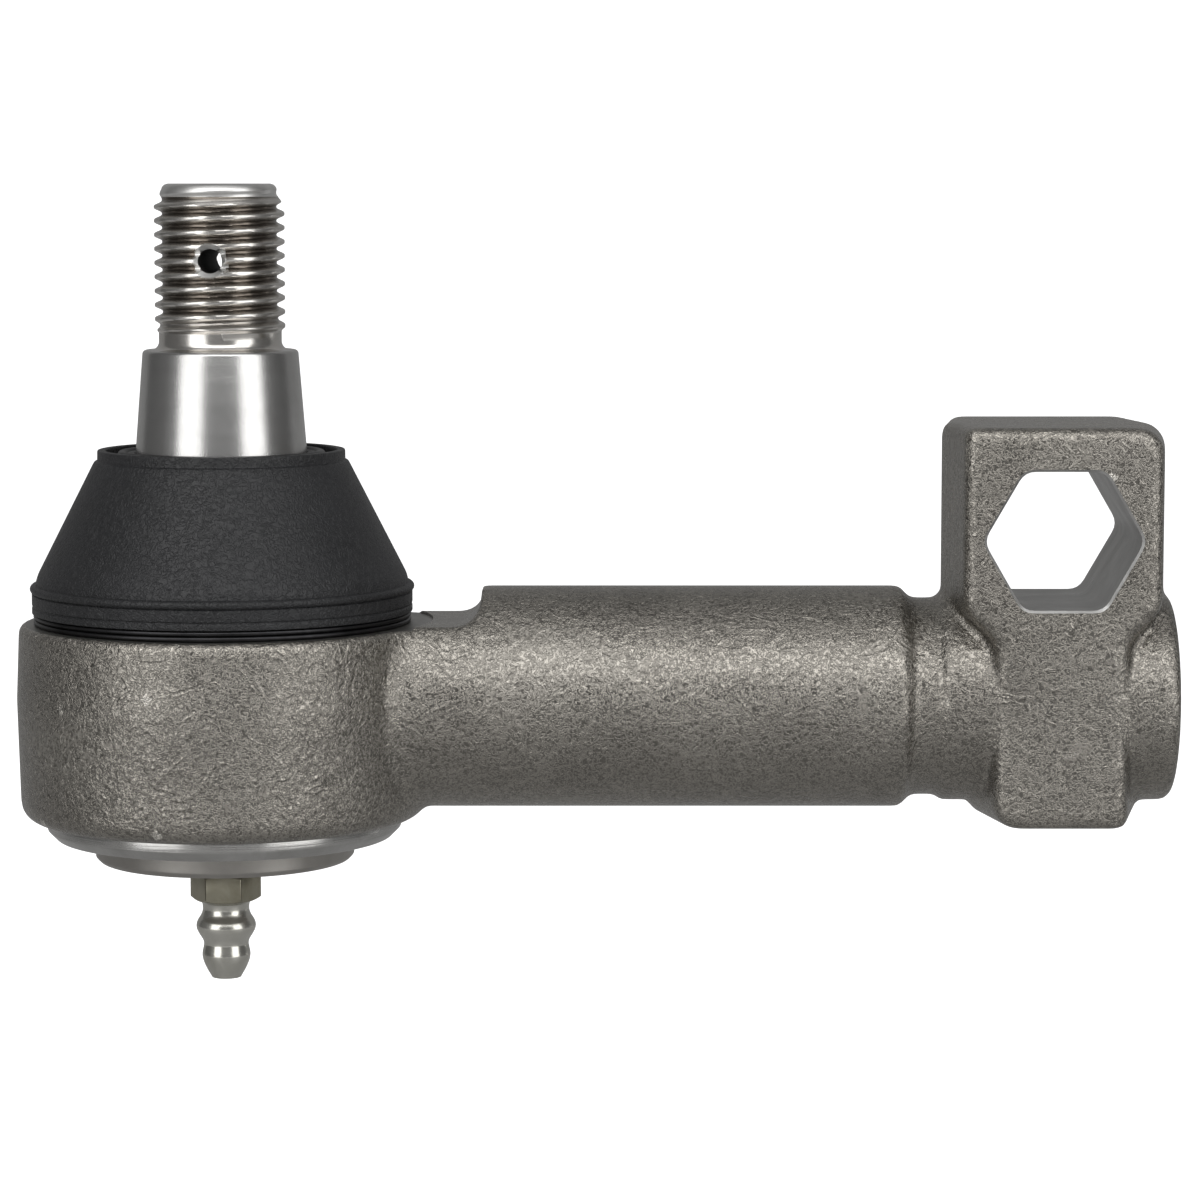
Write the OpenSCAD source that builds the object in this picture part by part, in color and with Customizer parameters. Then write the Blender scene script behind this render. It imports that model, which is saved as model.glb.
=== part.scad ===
// Tie rod end: a forged arm with a ball joint in a round eye and a threaded socket for the rod.
// X runs out of the rod socket, Z runs up the ball stud, and all sizes are millimetres.
// The origin is the centre of the rod socket, where its thread starts inside the end face.

/* [Eye] */
// Outside diameter of the eye round the ball
eye_d = 44.6; // [43:0.1:48]
// Height of the eye's top face over the ball's centre
eye_top = 8.1; // [7.6:0.1:9.5]
// From the ball's seat down to the eye's bottom face
eye_floor = 2.05; // [1.75:0.05:2.5]
// Radius of the eye's lower edge
eye_low_edge = 2; // [1:0.1:3]
// Radius of the eye's upper edge
eye_high_edge = 0.9; // [0.4:0.1:1.2]
// How far the eye draws in from the shank's axis to its edges
eye_draft = 0.3; // [0:0.1:0.8]
// How far the machined seat on top of the eye runs past the eye's side
spot_margin = 0.5; // [0.4:0.1:2]

/* [Shank] */
// From the ball's centre to the end face with the rod socket
rod_reach = 102.7; // [90:0.1:140]
// Diameter of the shank
shank_d = 24; // [23:0.1:26]
// Radius of the shank's far edge
shank_edge = 1; // [0.4:0.1:1.6]
// Height of the forged fillet between shank and eye
fillet_h = 2; // [0.8:0.1:2.6]
// Reach of that fillet along the shank
fillet_w = 3.2; // [1.6:0.1:4]
// Height of the flat beside the eye over the shank's axis
flat_height = 8.4; // [8.2:0.1:9.6]
// From the eye's side to the step where the flat ends
flat_length = 5.8; // [4:0.1:14]
// Radius in the root of that step
flat_root = 2.6; // [1:0.1:2.8]
// Radius over the top of that step
flat_crest = 0.9; // [0.3:0.1:1.2]

/* [Lug] */
// From the end face to the middle of the lug
lug_inset = 12.8; // [12:0.1:18]
// Width of the lug's head along the shank, in the forging's parting plane
lug_w = 24.2; // [22:0.1:24.6]
// How far the head draws in from that plane to each of its faces
head_draft = 1.7; // [0.5:0.1:2]
// Thickness of the lug across the shank
lug_t = 23.5; // [23.2:0.1:27]
// Height of the lug's top over the shank's axis
lug_top = 29.8; // [28:0.1:36]
// Width of the lug's foot along the shank, in the parting plane
foot_w = 18.6; // [16:0.1:20]
// How far the foot draws in from that plane to each of its faces
foot_draft = 2.4; // [0.5:0.1:3]
// Depth of the lug's foot under the shank's axis
foot_depth = 13; // [12.4:0.1:15]
// Height at which the head starts to narrow
head_low = 10.4; // [9:0.1:11.5]
// Radius of the lug's edges
lug_edge = 1.4; // [0.8:0.1:1.8]
// Radius of the foot's lower corner on the side of the eye
foot_corner = 2.7; // [2:0.1:4]
// Radius of the head's upper corner on the side of the end face
head_corner = 2.8; // [2:0.1:4]
// Distance across the flats of the hexagonal hole
hex_af = 14.7; // [12:0.1:15.5]
// Height of the hexagonal hole over the shank's axis
hex_height = 17.85; // [17:0.05:19]
// Radius in the corners of the hexagonal hole
hex_corner = 2; // [0.4:0.1:2.4]
// Diameter of the collar beside the lug and of the boss on the end face
collar_d = 22.6; // [22:0.1:23]
// How far the collar stands out from the lug's head
collar_step = 0.1; // [0.1:0.1:1]
// Diameter of the groove between shank and collar
groove_d = 21.4; // [20:0.1:21.8]
// Width of that groove
groove_w = 3.8; // [3:0.1:6]
// Radius of the boss's rim
boss_edge = 1.3; // [0.5:0.1:2]

/* [Rod socket] */
// Diameter of the socket's wall, the inside of a 14 mm thread
socket_d = 12.38; // [11:0.01:13]
// Depth of full wall
socket_depth = 44; // [25:1:60]
// Depth of the chamfer in the mouth
mouth_chamfer = 1; // [0.5:0.1:1.5]

/* [Ball stud] */
// Diameter of the ball
ball_d = 22; // [21.5:0.1:22.4]
// Depth of the flat under the ball
ball_flat = 10.2; // [9.6:0.1:10.6]
// Diameter of the stud's neck
neck_d = 12.6; // [11.5:0.1:13]
// How far the stud tilts to any side, in degrees
tilt = 20; // [16:0.5:21]
// Height over the ball's centre where the neck starts to widen
neck_top = 16; // [15.5:0.1:17]
// Height of the taper's lower end
taper_low = 20; // [19:0.1:21]
// Height of the taper's upper end
taper_high = 37.6; // [36:0.1:42]
// Diameter at the taper's lower end
taper_low_d = 19.5; // [18.8:0.1:20]
// Diameter at the taper's upper end
taper_high_d = 16.8; // [16:0.1:17.4]
// Radius of the taper's upper edge
taper_edge = 0.4; // [0.2:0.1:0.6]
// Outside diameter of the stud's thread
thread_d = 14; // [13:0.1:15]
// Length of the thread with its end chamfer
thread_length = 15.7; // [14:0.1:20]
// Depth of the thread's end chamfer
thread_chamfer = 1.5; // [0.8:0.1:2]
// Diameter of the undercut below the thread
undercut_d = 13.2; // [12:0.1:13.6]
// Length of that undercut
undercut_w = 2.1; // [1.6:0.1:3]
// Radius in the root of the undercut
undercut_root = 0.8; // [0.4:0.1:1]
// Diameter of the cotter hole
cotter_d = 2.6; // [2:0.1:3.2]
// From the top of the stud to the cotter hole
cotter_drop = 8.2; // [6:0.1:9]
// Diameter of the centre drilling in both ends
centre_d = 3; // [2:0.1:4]
// Depth of the countersink on the cotter hole
cotter_sink = 0.4; // [0.2:0.1:0.5]
// Turn of the cotter hole from the arm's side, in degrees
cotter_turn = 4; // [0:1:90]

/* [Bearing] */
// Wall of the bearing shells round the ball
race_wall = 2.4; // [2:0.1:2.6]
// Gap between the two shells
race_split = 0.6; // [0.4:0.1:1]
// Floor of the lower shell under the ball
cup_floor = 1.5; // [1.2:0.1:1.8]
// Grease hole in the lower shell
cup_hole_d = 5; // [3:0.1:7]
// Thickness of the disc spring
spring_t = 0.9; // [0.6:0.05:1.1]
// Rise of the disc spring's cone
spring_rise = 0.6; // [0.3:0.05:0.8]
// Outside diameter of the disc spring
spring_od = 22; // [18:0.1:25]
// Inside diameter of the disc spring
spring_id = 11; // [9:0.1:13]

/* [Cover] */
// Diameter of the cover's flange
cover_d = 38.4; // [36.5:0.1:40]
// Thickness of the cover's flange
flange_t = 2.1; // [1.8:0.1:3]
// Height and width of the flange's chamfer
flange_chamfer = 1; // [0.4:0.1:1.2]
// Diameter of the raised middle of the cover
hub_d = 28.1; // [24:0.1:31]
// Height of the raised middle over the flange
hub_h = 2.6; // [2:0.1:4]
// Chamfer of the raised middle
hub_chamfer = 0.5; // [0.2:0.1:1]
// Wall of the screwed ring on the cover
cover_wall = 2; // [1.6:0.1:2.4]
// Height of the screwed ring on the cover
cover_ring_h = 3.5; // [3:0.1:5]
// Section of the sealing ring
seal_d = 1.4; // [1:0.1:1.6]
// How far the cover squeezes the sealing ring
seal_squeeze = 0.2; // [0.1:0.05:0.3]

/* [Grease nipple] */
// Diameter of the nipple's thread
nipple_d = 6; // [5:0.1:6.4]
// Distance across the flats of the nipple's hexagon
nipple_af = 6.7; // [6.5:0.1:8]
// Height of the hexagon
nipple_hex_h = 3; // [2:0.1:4]
// How far the tapered thread holds the hexagon off the cover
nipple_standoff = 1.6; // [0.5:0.1:3]
// Length of the nipple's head
nipple_head_h = 8.6; // [7.5:0.1:10]
// Diameter of the bulge that the grease gun grips
nipple_head_d = 6.5; // [6.1:0.1:7]
// Radius of the bulge's side
nipple_bulge = 2.2; // [1.8:0.1:2.6]
// From the hexagon to the middle of the bulge
nipple_bulge_drop = 3; // [2.5:0.1:3.6]
// Diameter of the nipple's waists
nipple_waist_d = 5; // [4.6:0.1:5.4]
// Fillet under the hexagon
nipple_fillet = 0.6; // [0.2:0.1:0.8]
// Diameter of the nipple's flat tip
nipple_tip_d = 3.4; // [3:0.1:3.8]
// Length of the taper behind the tip
nipple_tip_h = 1.7; // [1:0.1:2.2]
// Diameter of the check ball
check_ball_d = 2; // [1.7:0.1:2.2]
// Diameter of the hole in the tip
tip_hole_d = 1.5; // [1.2:0.1:1.6]
// Thickness of the tip round that hole
tip_wall = 0.65; // [0.5:0.05:0.9]
// How far grease pushes the check ball in
check_travel = 0.6; // [0.3:0.1:1]
// Wire of the check ball's spring
check_wire = 0.25; // [0.2:0.01:0.3]
// Turns of the check ball's spring
check_turns = 6; // [4:1:8]
// Length of the check ball's spring
check_length = 3.6; // [3:0.1:4.2]

/* [Dust boot] */
// Diameter of the boot's band over the eye
boot_d = 41.1; // [40:0.1:42.5]
// Diameter of the lip over the band
boot_lip_d = 41.5; // [40.8:0.1:42]
// Thickness of that lip
boot_lip_bead = 0.9; // [0.8:0.1:1.2]
// Height of the lip over the eye
boot_lip_h = 3.85; // [3.5:0.05:4.4]
// Diameter where the boot's side starts over the lip
cone_low_d = 40.3; // [39.8:0.1:40.6]
// Radius of the bend from the lip into the cone
boot_bend = 4; // [3:0.5:8]
// Height of the collar's lower edge over the ball's centre
collar_low = 25.7; // [24.5:0.1:27]
// Height of the boot's collar
boot_collar_h = 1.15; // [0.8:0.05:1.6]
// Diameter of the boot's collar
boot_collar_d = 26.7; // [26:0.1:28]
// Ledge of the cone round the collar
collar_ledge = 0.3; // [0.1:0.1:0.6]
// Thickness of the boot's wall
boot_wall = 2.1; // [1.6:0.1:2.4]
// Wall of the collar's outer rim and of its inner lip
boot_rim = 0.9; // [0.6:0.1:1.1]
// How far the inner lip ends under the outer rim
boot_seal_drop = 0.3; // [0.1:0.1:0.6]
// Thickness of the boot's wall at its foot, outside the eye's neck
foot_wall = 1.1; // [0.9:0.1:1.3]
// Height of the neck on the eye that holds the boot
spigot_h = 2.9; // [2.6:0.1:3.4]
// Depth of the groove in that neck
spigot_groove = 0.5; // [0.3:0.1:0.8]
// Wire of the ring round the boot's foot
ring_wire = 0.55; // [0.4:0.05:0.6]
// How far the band stands out over that ring
ring_inset = 0.2; // [0.1:0.05:0.4]
// Where that ring's step lies round the eye, in degrees
ring_turn = 140; // [0:5:355]
// Wire of the ring in the boot's collar
garter_wire = 1; // [0.7:0.05:1.1]
// How far that ring lies under the collar's rim
garter_sink = 0.1; // [0:0.05:0.2]

/* [Fits] */
// Radial clearance between ball and bearing shells
ball_gap = 0.05; // [0.03:0.01:0.08]
// Radial clearance of parts that are pushed or screwed in
fit_gap = 0.04; // [0.02:0.01:0.08]
// Clearance between the tilted neck and the eye's mouth
swing_gap = 0.4; // [0.3:0.05:0.6]
// Clearance between the boot and what it lies against
soft_gap = 0.05; // [0.03:0.01:0.1]
// Clearance under wires and under the check ball
touch_gap = 0.02; // [0.01:0.01:0.05]

/* [Hidden] */
$fn = 96;
overcut = 1;             // how far a cut runs past the face that it opens
fillet_sink = 0.25;      // how deep the ends of the forged fillet lie in shank and eye
fillet_rows = 4;         // faces across that fillet
fillet_steps = 26;       // sections of that fillet
fillet_core = 1;         // how deep its sections reach into shank and eye
fillet_from = -84;       // where it starts near the shank's lowest line, in degrees
fillet_turn = 156;       // how far it runs round the shank from there
fillet_fade = 34;        // how far its size grows from there
fillet_least = 0.07;     // share of its full size that it starts with
forged = "#6b6860";
bright = "#b9b8b4";
turned = "#8f8e8b";
rubber = "#262626";
zinc = "#a9a698";

// Places along X
end_x = mouth_chamfer;
ball_x = end_x - rod_reach;
lug_x = end_x - lug_inset;
head_left = lug_x - lug_w / 2;
collar_x = head_left - collar_step;
shank_end = collar_x - groove_w;

// Radii
eye_r = eye_d / 2;
shank_r = shank_d / 2;
collar_r = collar_d / 2;
groove_r = groove_d / 2;
socket_r = socket_d / 2;
ball_r = ball_d / 2;
seat_r = ball_r + ball_gap;
race_r = seat_r + race_wall;
race_bore = race_r + fit_gap;
neck_r = neck_d / 2;
thread_r = thread_d / 2;
cover_bore = race_bore + cover_wall;
boot_r = boot_d / 2;
foot_r = boot_r - ring_inset - ring_wire;
foot_inner = foot_r - foot_wall;
spigot_r = foot_inner - 2 * soft_gap;

// The tilted neck touches a cone whose radius grows with height z as mouth(z)
function mouth(z) = z * tan(tilt) + neck_r / cos(tilt) + swing_gap;
// Height at which that cone leaves the spherical seat, from mouth(z)^2 + z^2 = seat_r^2
mouth_a = tan(tilt);
mouth_b = neck_r / cos(tilt) + swing_gap;
mouth_q = 1 + mouth_a * mouth_a;
race_top = (sqrt(mouth_q * seat_r * seat_r - mouth_b * mouth_b) - mouth_a * mouth_b) / mouth_q;

// Heights under the ball
eye_bottom = seat_r + eye_floor;
cup_low = -seat_r - cup_floor;
spring_low = cup_low - spring_t - spring_rise;
flange_low = -eye_bottom - flange_t;
hub_low = flange_low - hub_h;
hex_high = hub_low - nipple_standoff;
hex_low = hex_high - nipple_hex_h;
tip_z = hex_low - nipple_head_h;
seal_h = seal_d - seal_squeeze;

// Heights over the ball
race_low = race_split / 2;
band_low = eye_top + 2 * (soft_gap + ring_wire) + touch_gap;
bead_h = band_low - eye_top;
spigot_top = eye_top + spigot_h;
thread_low = taper_high + undercut_w;
stud_top = thread_low + thread_length;
boot_top = collar_low + boot_collar_h;
seal_top = boot_top - boot_seal_drop;
seal_low = collar_low - boot_wall;

// Check ball: it rests on the edge of the tip's hole
check_r = check_ball_d / 2;
check_bore = check_r + fit_gap;
check_seat = tip_z + tip_wall;
check_z = check_seat + sqrt(check_r * check_r - tip_hole_d * tip_hole_d / 4) + touch_gap;
check_coil_r = check_r - check_wire / 2 - fit_gap;
// The lowest turn of the spring lies on the ball
check_touch = check_r + check_wire / 2 + fit_gap;
check_low = check_z + sqrt(check_touch * check_touch - check_coil_r * check_coil_r);
check_high = check_low + check_length;

function taper_r(z) = (taper_low_d + (taper_high_d - taper_low_d)
    * (z - taper_low) / (taper_high - taper_low)) / 2;

// The ring in the boot's collar lies round the lip that seals on the taper
garter_in = taper_r(boot_top) + soft_gap + boot_rim;
garter_low = boot_top - garter_sink - garter_wire;

// Points along an arc, from one angle to another
function arc(cx, cy, r, from, to, steps = 8) =
    [for (i = [0:steps]) let (a = from + (to - from) * i / steps) [cx + r * cos(a), cy + r * sin(a)]];

// A convex outline with its corners rounded
function rounded(points, r, steps = 4) = [
    for (i = [0:len(points) - 1])
        let (
            p = points[i],
            before = points[(i + len(points) - 1) % len(points)],
            after = points[(i + 1) % len(points)],
            u = (before - p) / norm(before - p),
            v = (after - p) / norm(after - p),
            half = acos(u * v) / 2,
            mid = (u + v) / norm(u + v),
            centre = p + mid * r / sin(half),
            start = p + u * r / tan(half) - centre,
            finish = p + v * r / tan(half) - centre,
            a = atan2(start[1], start[0]),
            turn = (atan2(finish[1], finish[0]) - a + 540) % 360 - 180
        )
        for (j = [0:steps]) centre + r * [cos(a + turn * j / steps), sin(a + turn * j / steps)]
];

module at_ball() {
    translate([ball_x, 0, 0]) children();
}

// Turns a profile of [radius, x] points about the X axis
module turned_along_x() {
    rotate([0, 90, 0]) rotate_extrude() children();
}

// Closed tube of round wire that turns through the sweep, with one ring of points at each height
module coil(r, wire, heights, sweep, sides = 8) {
    last = len(heights) - 1;
    points = [
        for (i = [0:last])
            let (a = sweep * i / last)
            for (j = [0:sides - 1])
                let (b = 360 * j / sides, out = r + wire / 2 * cos(b))
                [out * cos(a), out * sin(a), heights[i] + wire / 2 * sin(b)]
    ];
    walls = [
        for (i = [0:last - 1]) for (j = [0:sides - 1])
            let (k = (j + 1) % sides)
            [i * sides + j, i * sides + k, (i + 1) * sides + k, (i + 1) * sides + j]
    ];
    start = [[for (j = [sides - 1:-1:0]) j]];
    finish = [[for (j = [0:sides - 1]) last * sides + j]];
    polyhedron(points, concat(walls, start, finish));
}

module eye_blank() {
    side = eye_r - eye_draft;
    rotate_extrude() {
        polygon([
            [0, -eye_bottom],
            [side - eye_low_edge, -eye_bottom],
            [side, -eye_bottom + eye_low_edge],
            [eye_r, 0],
            [side, eye_top - eye_high_edge],
            [side - eye_high_edge, eye_top],
            [0, eye_top]
        ]);
        translate([side - eye_low_edge, -eye_bottom + eye_low_edge]) circle(eye_low_edge);
        translate([side - eye_high_edge, eye_top - eye_high_edge]) circle(eye_high_edge);
    }
}

// Shank, groove, collar and boss are one turned bar
module shank_bar() {
    turned_along_x() polygon(concat(
        [[0, ball_x], [shank_r, ball_x]],
        arc(shank_r - shank_edge, shank_end - shank_edge, shank_edge, 0, 60),
        [[groove_r, shank_end + (shank_r - groove_r) / 2]],
        [[groove_r, collar_x - (collar_r - groove_r) / 2]],
        [[collar_r, collar_x]],
        arc(collar_r - boss_edge, end_x - boss_edge, boss_edge, 0, 90),
        [[0, end_x]]
    ));
}

// Distance of the eye's side from the ball along X, at a place across the arm
function eye_side(y) = sqrt(eye_r * eye_r - y * y);

// The fillet is full beside the shank and fades out towards the shank's lowest line
function fillet_share(a) = max(fillet_least, min(1, (a - fillet_from) / fillet_fade));

// Section of the fillet in the plane through the shank's axis that is turned by a
function fillet_section(a) =
    let (
        low = shank_r - fillet_sink,
        high = low + (fillet_h + fillet_sink) * fillet_share(a),
        root = eye_side(low * cos(a)),
        start = [root + fillet_w * fillet_share(a), low],
        corner = [root, low],
        finish = [eye_side(high * cos(a)) - fillet_sink, high]
    )
    concat(
        [[root - fillet_core, low - fillet_core]],
        [for (i = [0:fillet_rows]) let (t = i / fillet_rows)
            start * (1 - t) * (1 - t) + corner * 2 * t * (1 - t) + finish * t * t]
    );

// One side of the forged fillet where the shank runs into the eye
module eye_fillet() {
    n = fillet_rows + 2;                  // points in a section
    function turn(k) = fillet_from + fillet_turn * k / fillet_steps;
    points = [for (k = [0:fillet_steps]) for (p = fillet_section(turn(k)))
        [p[0], p[1] * cos(turn(k)), p[1] * sin(turn(k))]];
    polyhedron(points, concat(
        [[for (j = [0:n - 1]) j]],
        [[for (j = [0:n - 1]) fillet_steps * n + n - 1 - j]],
        [for (k = [0:fillet_steps - 1]) for (j = [0:n - 1]) let (m = (j + 1) % n)
            [k * n + j, (k + 1) * n + j, (k + 1) * n + m]],
        [for (k = [0:fillet_steps - 1]) for (j = [0:n - 1]) let (m = (j + 1) % n)
            [k * n + j, (k + 1) * n + m, k * n + m]]
    ));
}

// What is milled off the shank's top beside the eye
module flat_cutter() {
    step_x = eye_r + flat_length;
    rotate([90, 0, 0]) linear_extrude(eye_d, center = true) {
        difference() {
            translate([0, flat_height]) square([step_x, shank_r]);
            translate([step_x - flat_root, flat_height]) square(flat_root);
        }
        translate([step_x - flat_root, flat_height + flat_root]) circle(flat_root);
        difference() {
            translate([step_x, shank_r - flat_crest]) square(flat_crest);
            translate([step_x + flat_crest, shank_r - flat_crest]) circle(flat_crest);
        }
    }
}

// Head and foot of the lug as one outline, from half their widths, drawn in by the radius of its edges
function lug_outline(head, foot) =
    let (
        w = head - lug_edge,
        f = foot - lug_edge,
        high = lug_top - lug_edge,
        low = -foot_depth + lug_edge,
        soft = foot_corner - lug_edge,
        round = head_corner - lug_edge,
        slant = head_low - (head - foot)
    )
    concat(
        [[-w, high], [-w, head_low], [-f, slant]],
        arc(-f + soft, low + soft, soft, 180, 270, 4),
        [[f, low], [f, slant], [w, head_low]],
        arc(w - round, high - round, round, 0, 90, 4)
    );

// The lug is widest in the parting plane and draws in towards both faces
module lug_blank() {
    face = lug_outline(lug_w / 2 - head_draft, foot_w / 2 - foot_draft);
    middle = lug_outline(lug_w / 2, foot_w / 2);
    reach = lug_t / 2 - lug_edge;
    n = len(face);
    points = concat(
        [for (p = face) [p[0], -reach, p[1]]],
        [for (p = middle) [p[0], 0, p[1]]],
        [for (p = face) [p[0], reach, p[1]]]
    );
    translate([lug_x, 0, 0]) minkowski() {
        polyhedron(points, concat(
            [[for (j = [0:n - 1]) n - 1 - j]],
            [[for (j = [0:n - 1]) 2 * n + j]],
            [for (k = [0, n]) for (j = [0:n - 1]) let (m = (j + 1) % n) [k + j, k + m, k + n + m]],
            [for (k = [0, n]) for (j = [0:n - 1]) let (m = (j + 1) % n) [k + j, k + n + m, k + n + j]]
        ));
        sphere(lug_edge, $fn = 24);
    }
}

module hex_hole() {
    corner = hex_af / sqrt(3);
    outline = [for (i = [0:5]) corner * [cos(60 * i), sin(60 * i)]];
    translate([lug_x, 0, hex_height]) rotate([90, 0, 0])
        linear_extrude(lug_t + 2 * overcut, center = true) polygon(rounded(outline, hex_corner));
}

module rod_socket() {
    drill_tip = socket_r / tan(59);       // a drill's point of 118 degrees
    rotate([0, -90, 0]) {
        cylinder(h = socket_depth, r = socket_r);
        translate([0, 0, socket_depth]) cylinder(h = drill_tip, r1 = socket_r, r2 = 0);
        translate([0, 0, -mouth_chamfer - overcut])
            cylinder(h = mouth_chamfer + overcut, r1 = socket_r + mouth_chamfer + overcut, r2 = socket_r);
    }
}

// Neck on top of the eye, grooved for the boot's bead
module boot_spigot() {
    difference() {
        cylinder(h = spigot_top, r = spigot_r);
        translate([0, 0, band_low]) difference() {
            cylinder(h = bead_h, r = spigot_r + overcut);
            cylinder(h = bead_h, r = spigot_r - spigot_groove);
        }
    }
}

// Everything bored into the eye, from the cover's thread up to the mouth
module eye_bores() {
    translate([0, 0, -eye_bottom - overcut]) {
        cylinder(h = overcut + race_top + eye_bottom, r = race_bore);
        cylinder(h = overcut + cover_ring_h, r = cover_bore);
        cylinder(h = overcut + seal_h, r = cover_bore + seal_d);
    }
    translate([0, 0, race_top - overcut])
        cylinder(h = spigot_top - race_top + 2 * overcut,
            r1 = mouth(race_top - overcut), r2 = mouth(spigot_top + overcut));
}

module housing() {
    color(forged) difference() {
        union() {
            difference() {
                union() {
                    at_ball() {
                        eye_blank();
                        eye_fillet();
                        mirror([0, 1, 0]) eye_fillet();
                    }
                    shank_bar();
                }
                at_ball() {
                    flat_cutter();
                    translate([0, 0, eye_top]) cylinder(h = shank_r, r = eye_r + spot_margin);
                }
            }
            at_ball() boot_spigot();
            lug_blank();
        }
        at_ball() eye_bores();
        hex_hole();
        rod_socket();
    }
}

module ball_stud() {
    shoulder_r = taper_high_d / 2;
    root_r = undercut_d / 2;
    centre_h = centre_d / 2 + overcut;
    color(bright) at_ball() rotate([0, 0, -cotter_turn]) difference() {
        union() {
            difference() {
                sphere(ball_r);
                translate([0, 0, -ball_flat - ball_r]) cube(2 * ball_r, center = true);
            }
            rotate_extrude() difference() {
                polygon(concat(
                    [[0, 0], [neck_r, 0], [neck_r, neck_top], [taper_low_d / 2, taper_low]],
                    arc(shoulder_r - taper_edge, taper_high - taper_edge, taper_edge, 0, 90, 4),
                    [[root_r + undercut_root, taper_high], [root_r, taper_high + undercut_root]],
                    [[root_r, thread_low - (thread_r - root_r)], [thread_r, thread_low]],
                    [[thread_r, stud_top - thread_chamfer], [thread_r - thread_chamfer, stud_top]],
                    [[0, stud_top]]
                ));
                translate([root_r + undercut_root, taper_high + undercut_root]) circle(undercut_root);
            }
        }
        translate([0, 0, stud_top - cotter_drop]) rotate([90, 0, 0]) {
            cylinder(h = thread_d + 2 * overcut, d = cotter_d, center = true);
            for (side = [0, 180]) rotate([side, 0, 0]) translate([0, 0, thread_r - cotter_sink])
                cylinder(h = cotter_sink + overcut,
                    r1 = cotter_d / 2, r2 = cotter_d / 2 + cotter_sink + overcut);
        }
        // The stud is ground between centres
        translate([0, 0, stud_top + overcut - centre_h]) cylinder(h = centre_h, r1 = 0, r2 = centre_h);
        translate([0, 0, -ball_flat - overcut]) cylinder(h = centre_h, r1 = centre_h, r2 = 0);
    }
}

module upper_race() {
    color(turned) at_ball() difference() {
        translate([0, 0, race_low]) cylinder(h = race_top - race_low, r = race_r);
        sphere(seat_r);
    }
}

module lower_race() {
    color(turned) at_ball() difference() {
        translate([0, 0, cup_low]) cylinder(h = -cup_low - race_low, r = race_r);
        sphere(seat_r);
        translate([0, 0, cup_low - overcut]) cylinder(h = cup_floor + 2 * overcut, d = cup_hole_d);
    }
}

// The outer rim rests on the cover and the inner rim bears on the lower shell
module disc_spring() {
    color(bright) at_ball() translate([0, 0, spring_low]) rotate_extrude() polygon([
        [spring_id / 2, spring_rise],
        [spring_od / 2, 0],
        [spring_od / 2, spring_t],
        [spring_id / 2, spring_rise + spring_t]
    ]);
}

module end_cover() {
    flange_r = cover_d / 2;
    ring_r = cover_bore - fit_gap;
    color(turned) at_ball() difference() {
        union() {
            translate([0, 0, -eye_bottom]) cylinder(h = cover_ring_h - fit_gap, r = ring_r);
            translate([0, 0, flange_low + flange_chamfer])
                cylinder(h = flange_t - flange_chamfer, r = flange_r);
            translate([0, 0, flange_low])
                cylinder(h = flange_chamfer, r1 = flange_r - flange_chamfer, r2 = flange_r);
            translate([0, 0, hub_low + hub_chamfer]) cylinder(h = hub_h, d = hub_d);
            translate([0, 0, hub_low])
                cylinder(h = hub_chamfer, d1 = hub_d - 2 * hub_chamfer, d2 = hub_d);
        }
        translate([0, 0, spring_low]) cylinder(h = eye_bottom, r = race_bore);
        translate([0, 0, hub_low - overcut]) cylinder(h = hub_h + flange_t + 2 * overcut, d = nipple_d);
    }
}

// The cover presses the ring flat above and below
module cover_seal() {
    seal_r = cover_bore + seal_d / 2;
    color(rubber) at_ball() rotate_extrude() intersection() {
        translate([seal_r, -eye_bottom + seal_h / 2]) circle(d = seal_d, $fn = 32);
        translate([0, -eye_bottom]) square([seal_r + seal_d, seal_h]);
    }
}

// Neck, bulge and tip, from the tip upwards
module nipple_profile() {
    waist = nipple_waist_d / 2;
    bulge_x = nipple_head_d / 2 - nipple_bulge;
    sweep = acos((waist - bulge_x) / nipple_bulge);
    polygon(concat(
        [[0, tip_z], [nipple_tip_d / 2, tip_z], [waist, tip_z + nipple_tip_h]],
        arc(bulge_x, hex_low - nipple_bulge_drop, nipple_bulge, -sweep, sweep),
        [[waist, hex_low - nipple_fillet], [waist + nipple_fillet, hex_low], [0, hex_low]]
    ));
}

module grease_nipple() {
    shank_top = spring_low - fit_gap;
    across = nipple_af / cos(30);
    chamfer_h = (across - nipple_af) / 2 * tan(30);
    coil_top = check_high + check_wire / 2;
    color(zinc) at_ball() difference() {
        union() {
            translate([0, 0, hex_high]) cylinder(h = shank_top - hex_high, r = nipple_d / 2 - fit_gap);
            intersection() {
                translate([0, 0, hex_low]) cylinder(h = nipple_hex_h, d = across, $fn = 6);
                rotate_extrude() polygon([
                    [0, hex_low],
                    [nipple_af / 2, hex_low],
                    [across / 2, hex_low + chamfer_h],
                    [across / 2, hex_high - chamfer_h],
                    [nipple_af / 2, hex_high],
                    [0, hex_high]
                ]);
            }
            rotate_extrude() nipple_profile();
        }
        translate([0, 0, tip_z - overcut]) cylinder(h = shank_top - tip_z + 2 * overcut, d = tip_hole_d);
        translate([0, 0, check_seat]) cylinder(h = coil_top - check_seat, r = check_bore);
    }
}

module check_ball() {
    color(bright) at_ball() translate([0, 0, check_z]) sphere(check_r, $fn = 32);
}

module check_spring() {
    rings = 16 * check_turns;
    heights = [for (i = [0:rings]) check_low + check_length * i / rings];
    color(bright) at_ball() coil(check_coil_r, check_wire, heights, 360 * check_turns);
}

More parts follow.
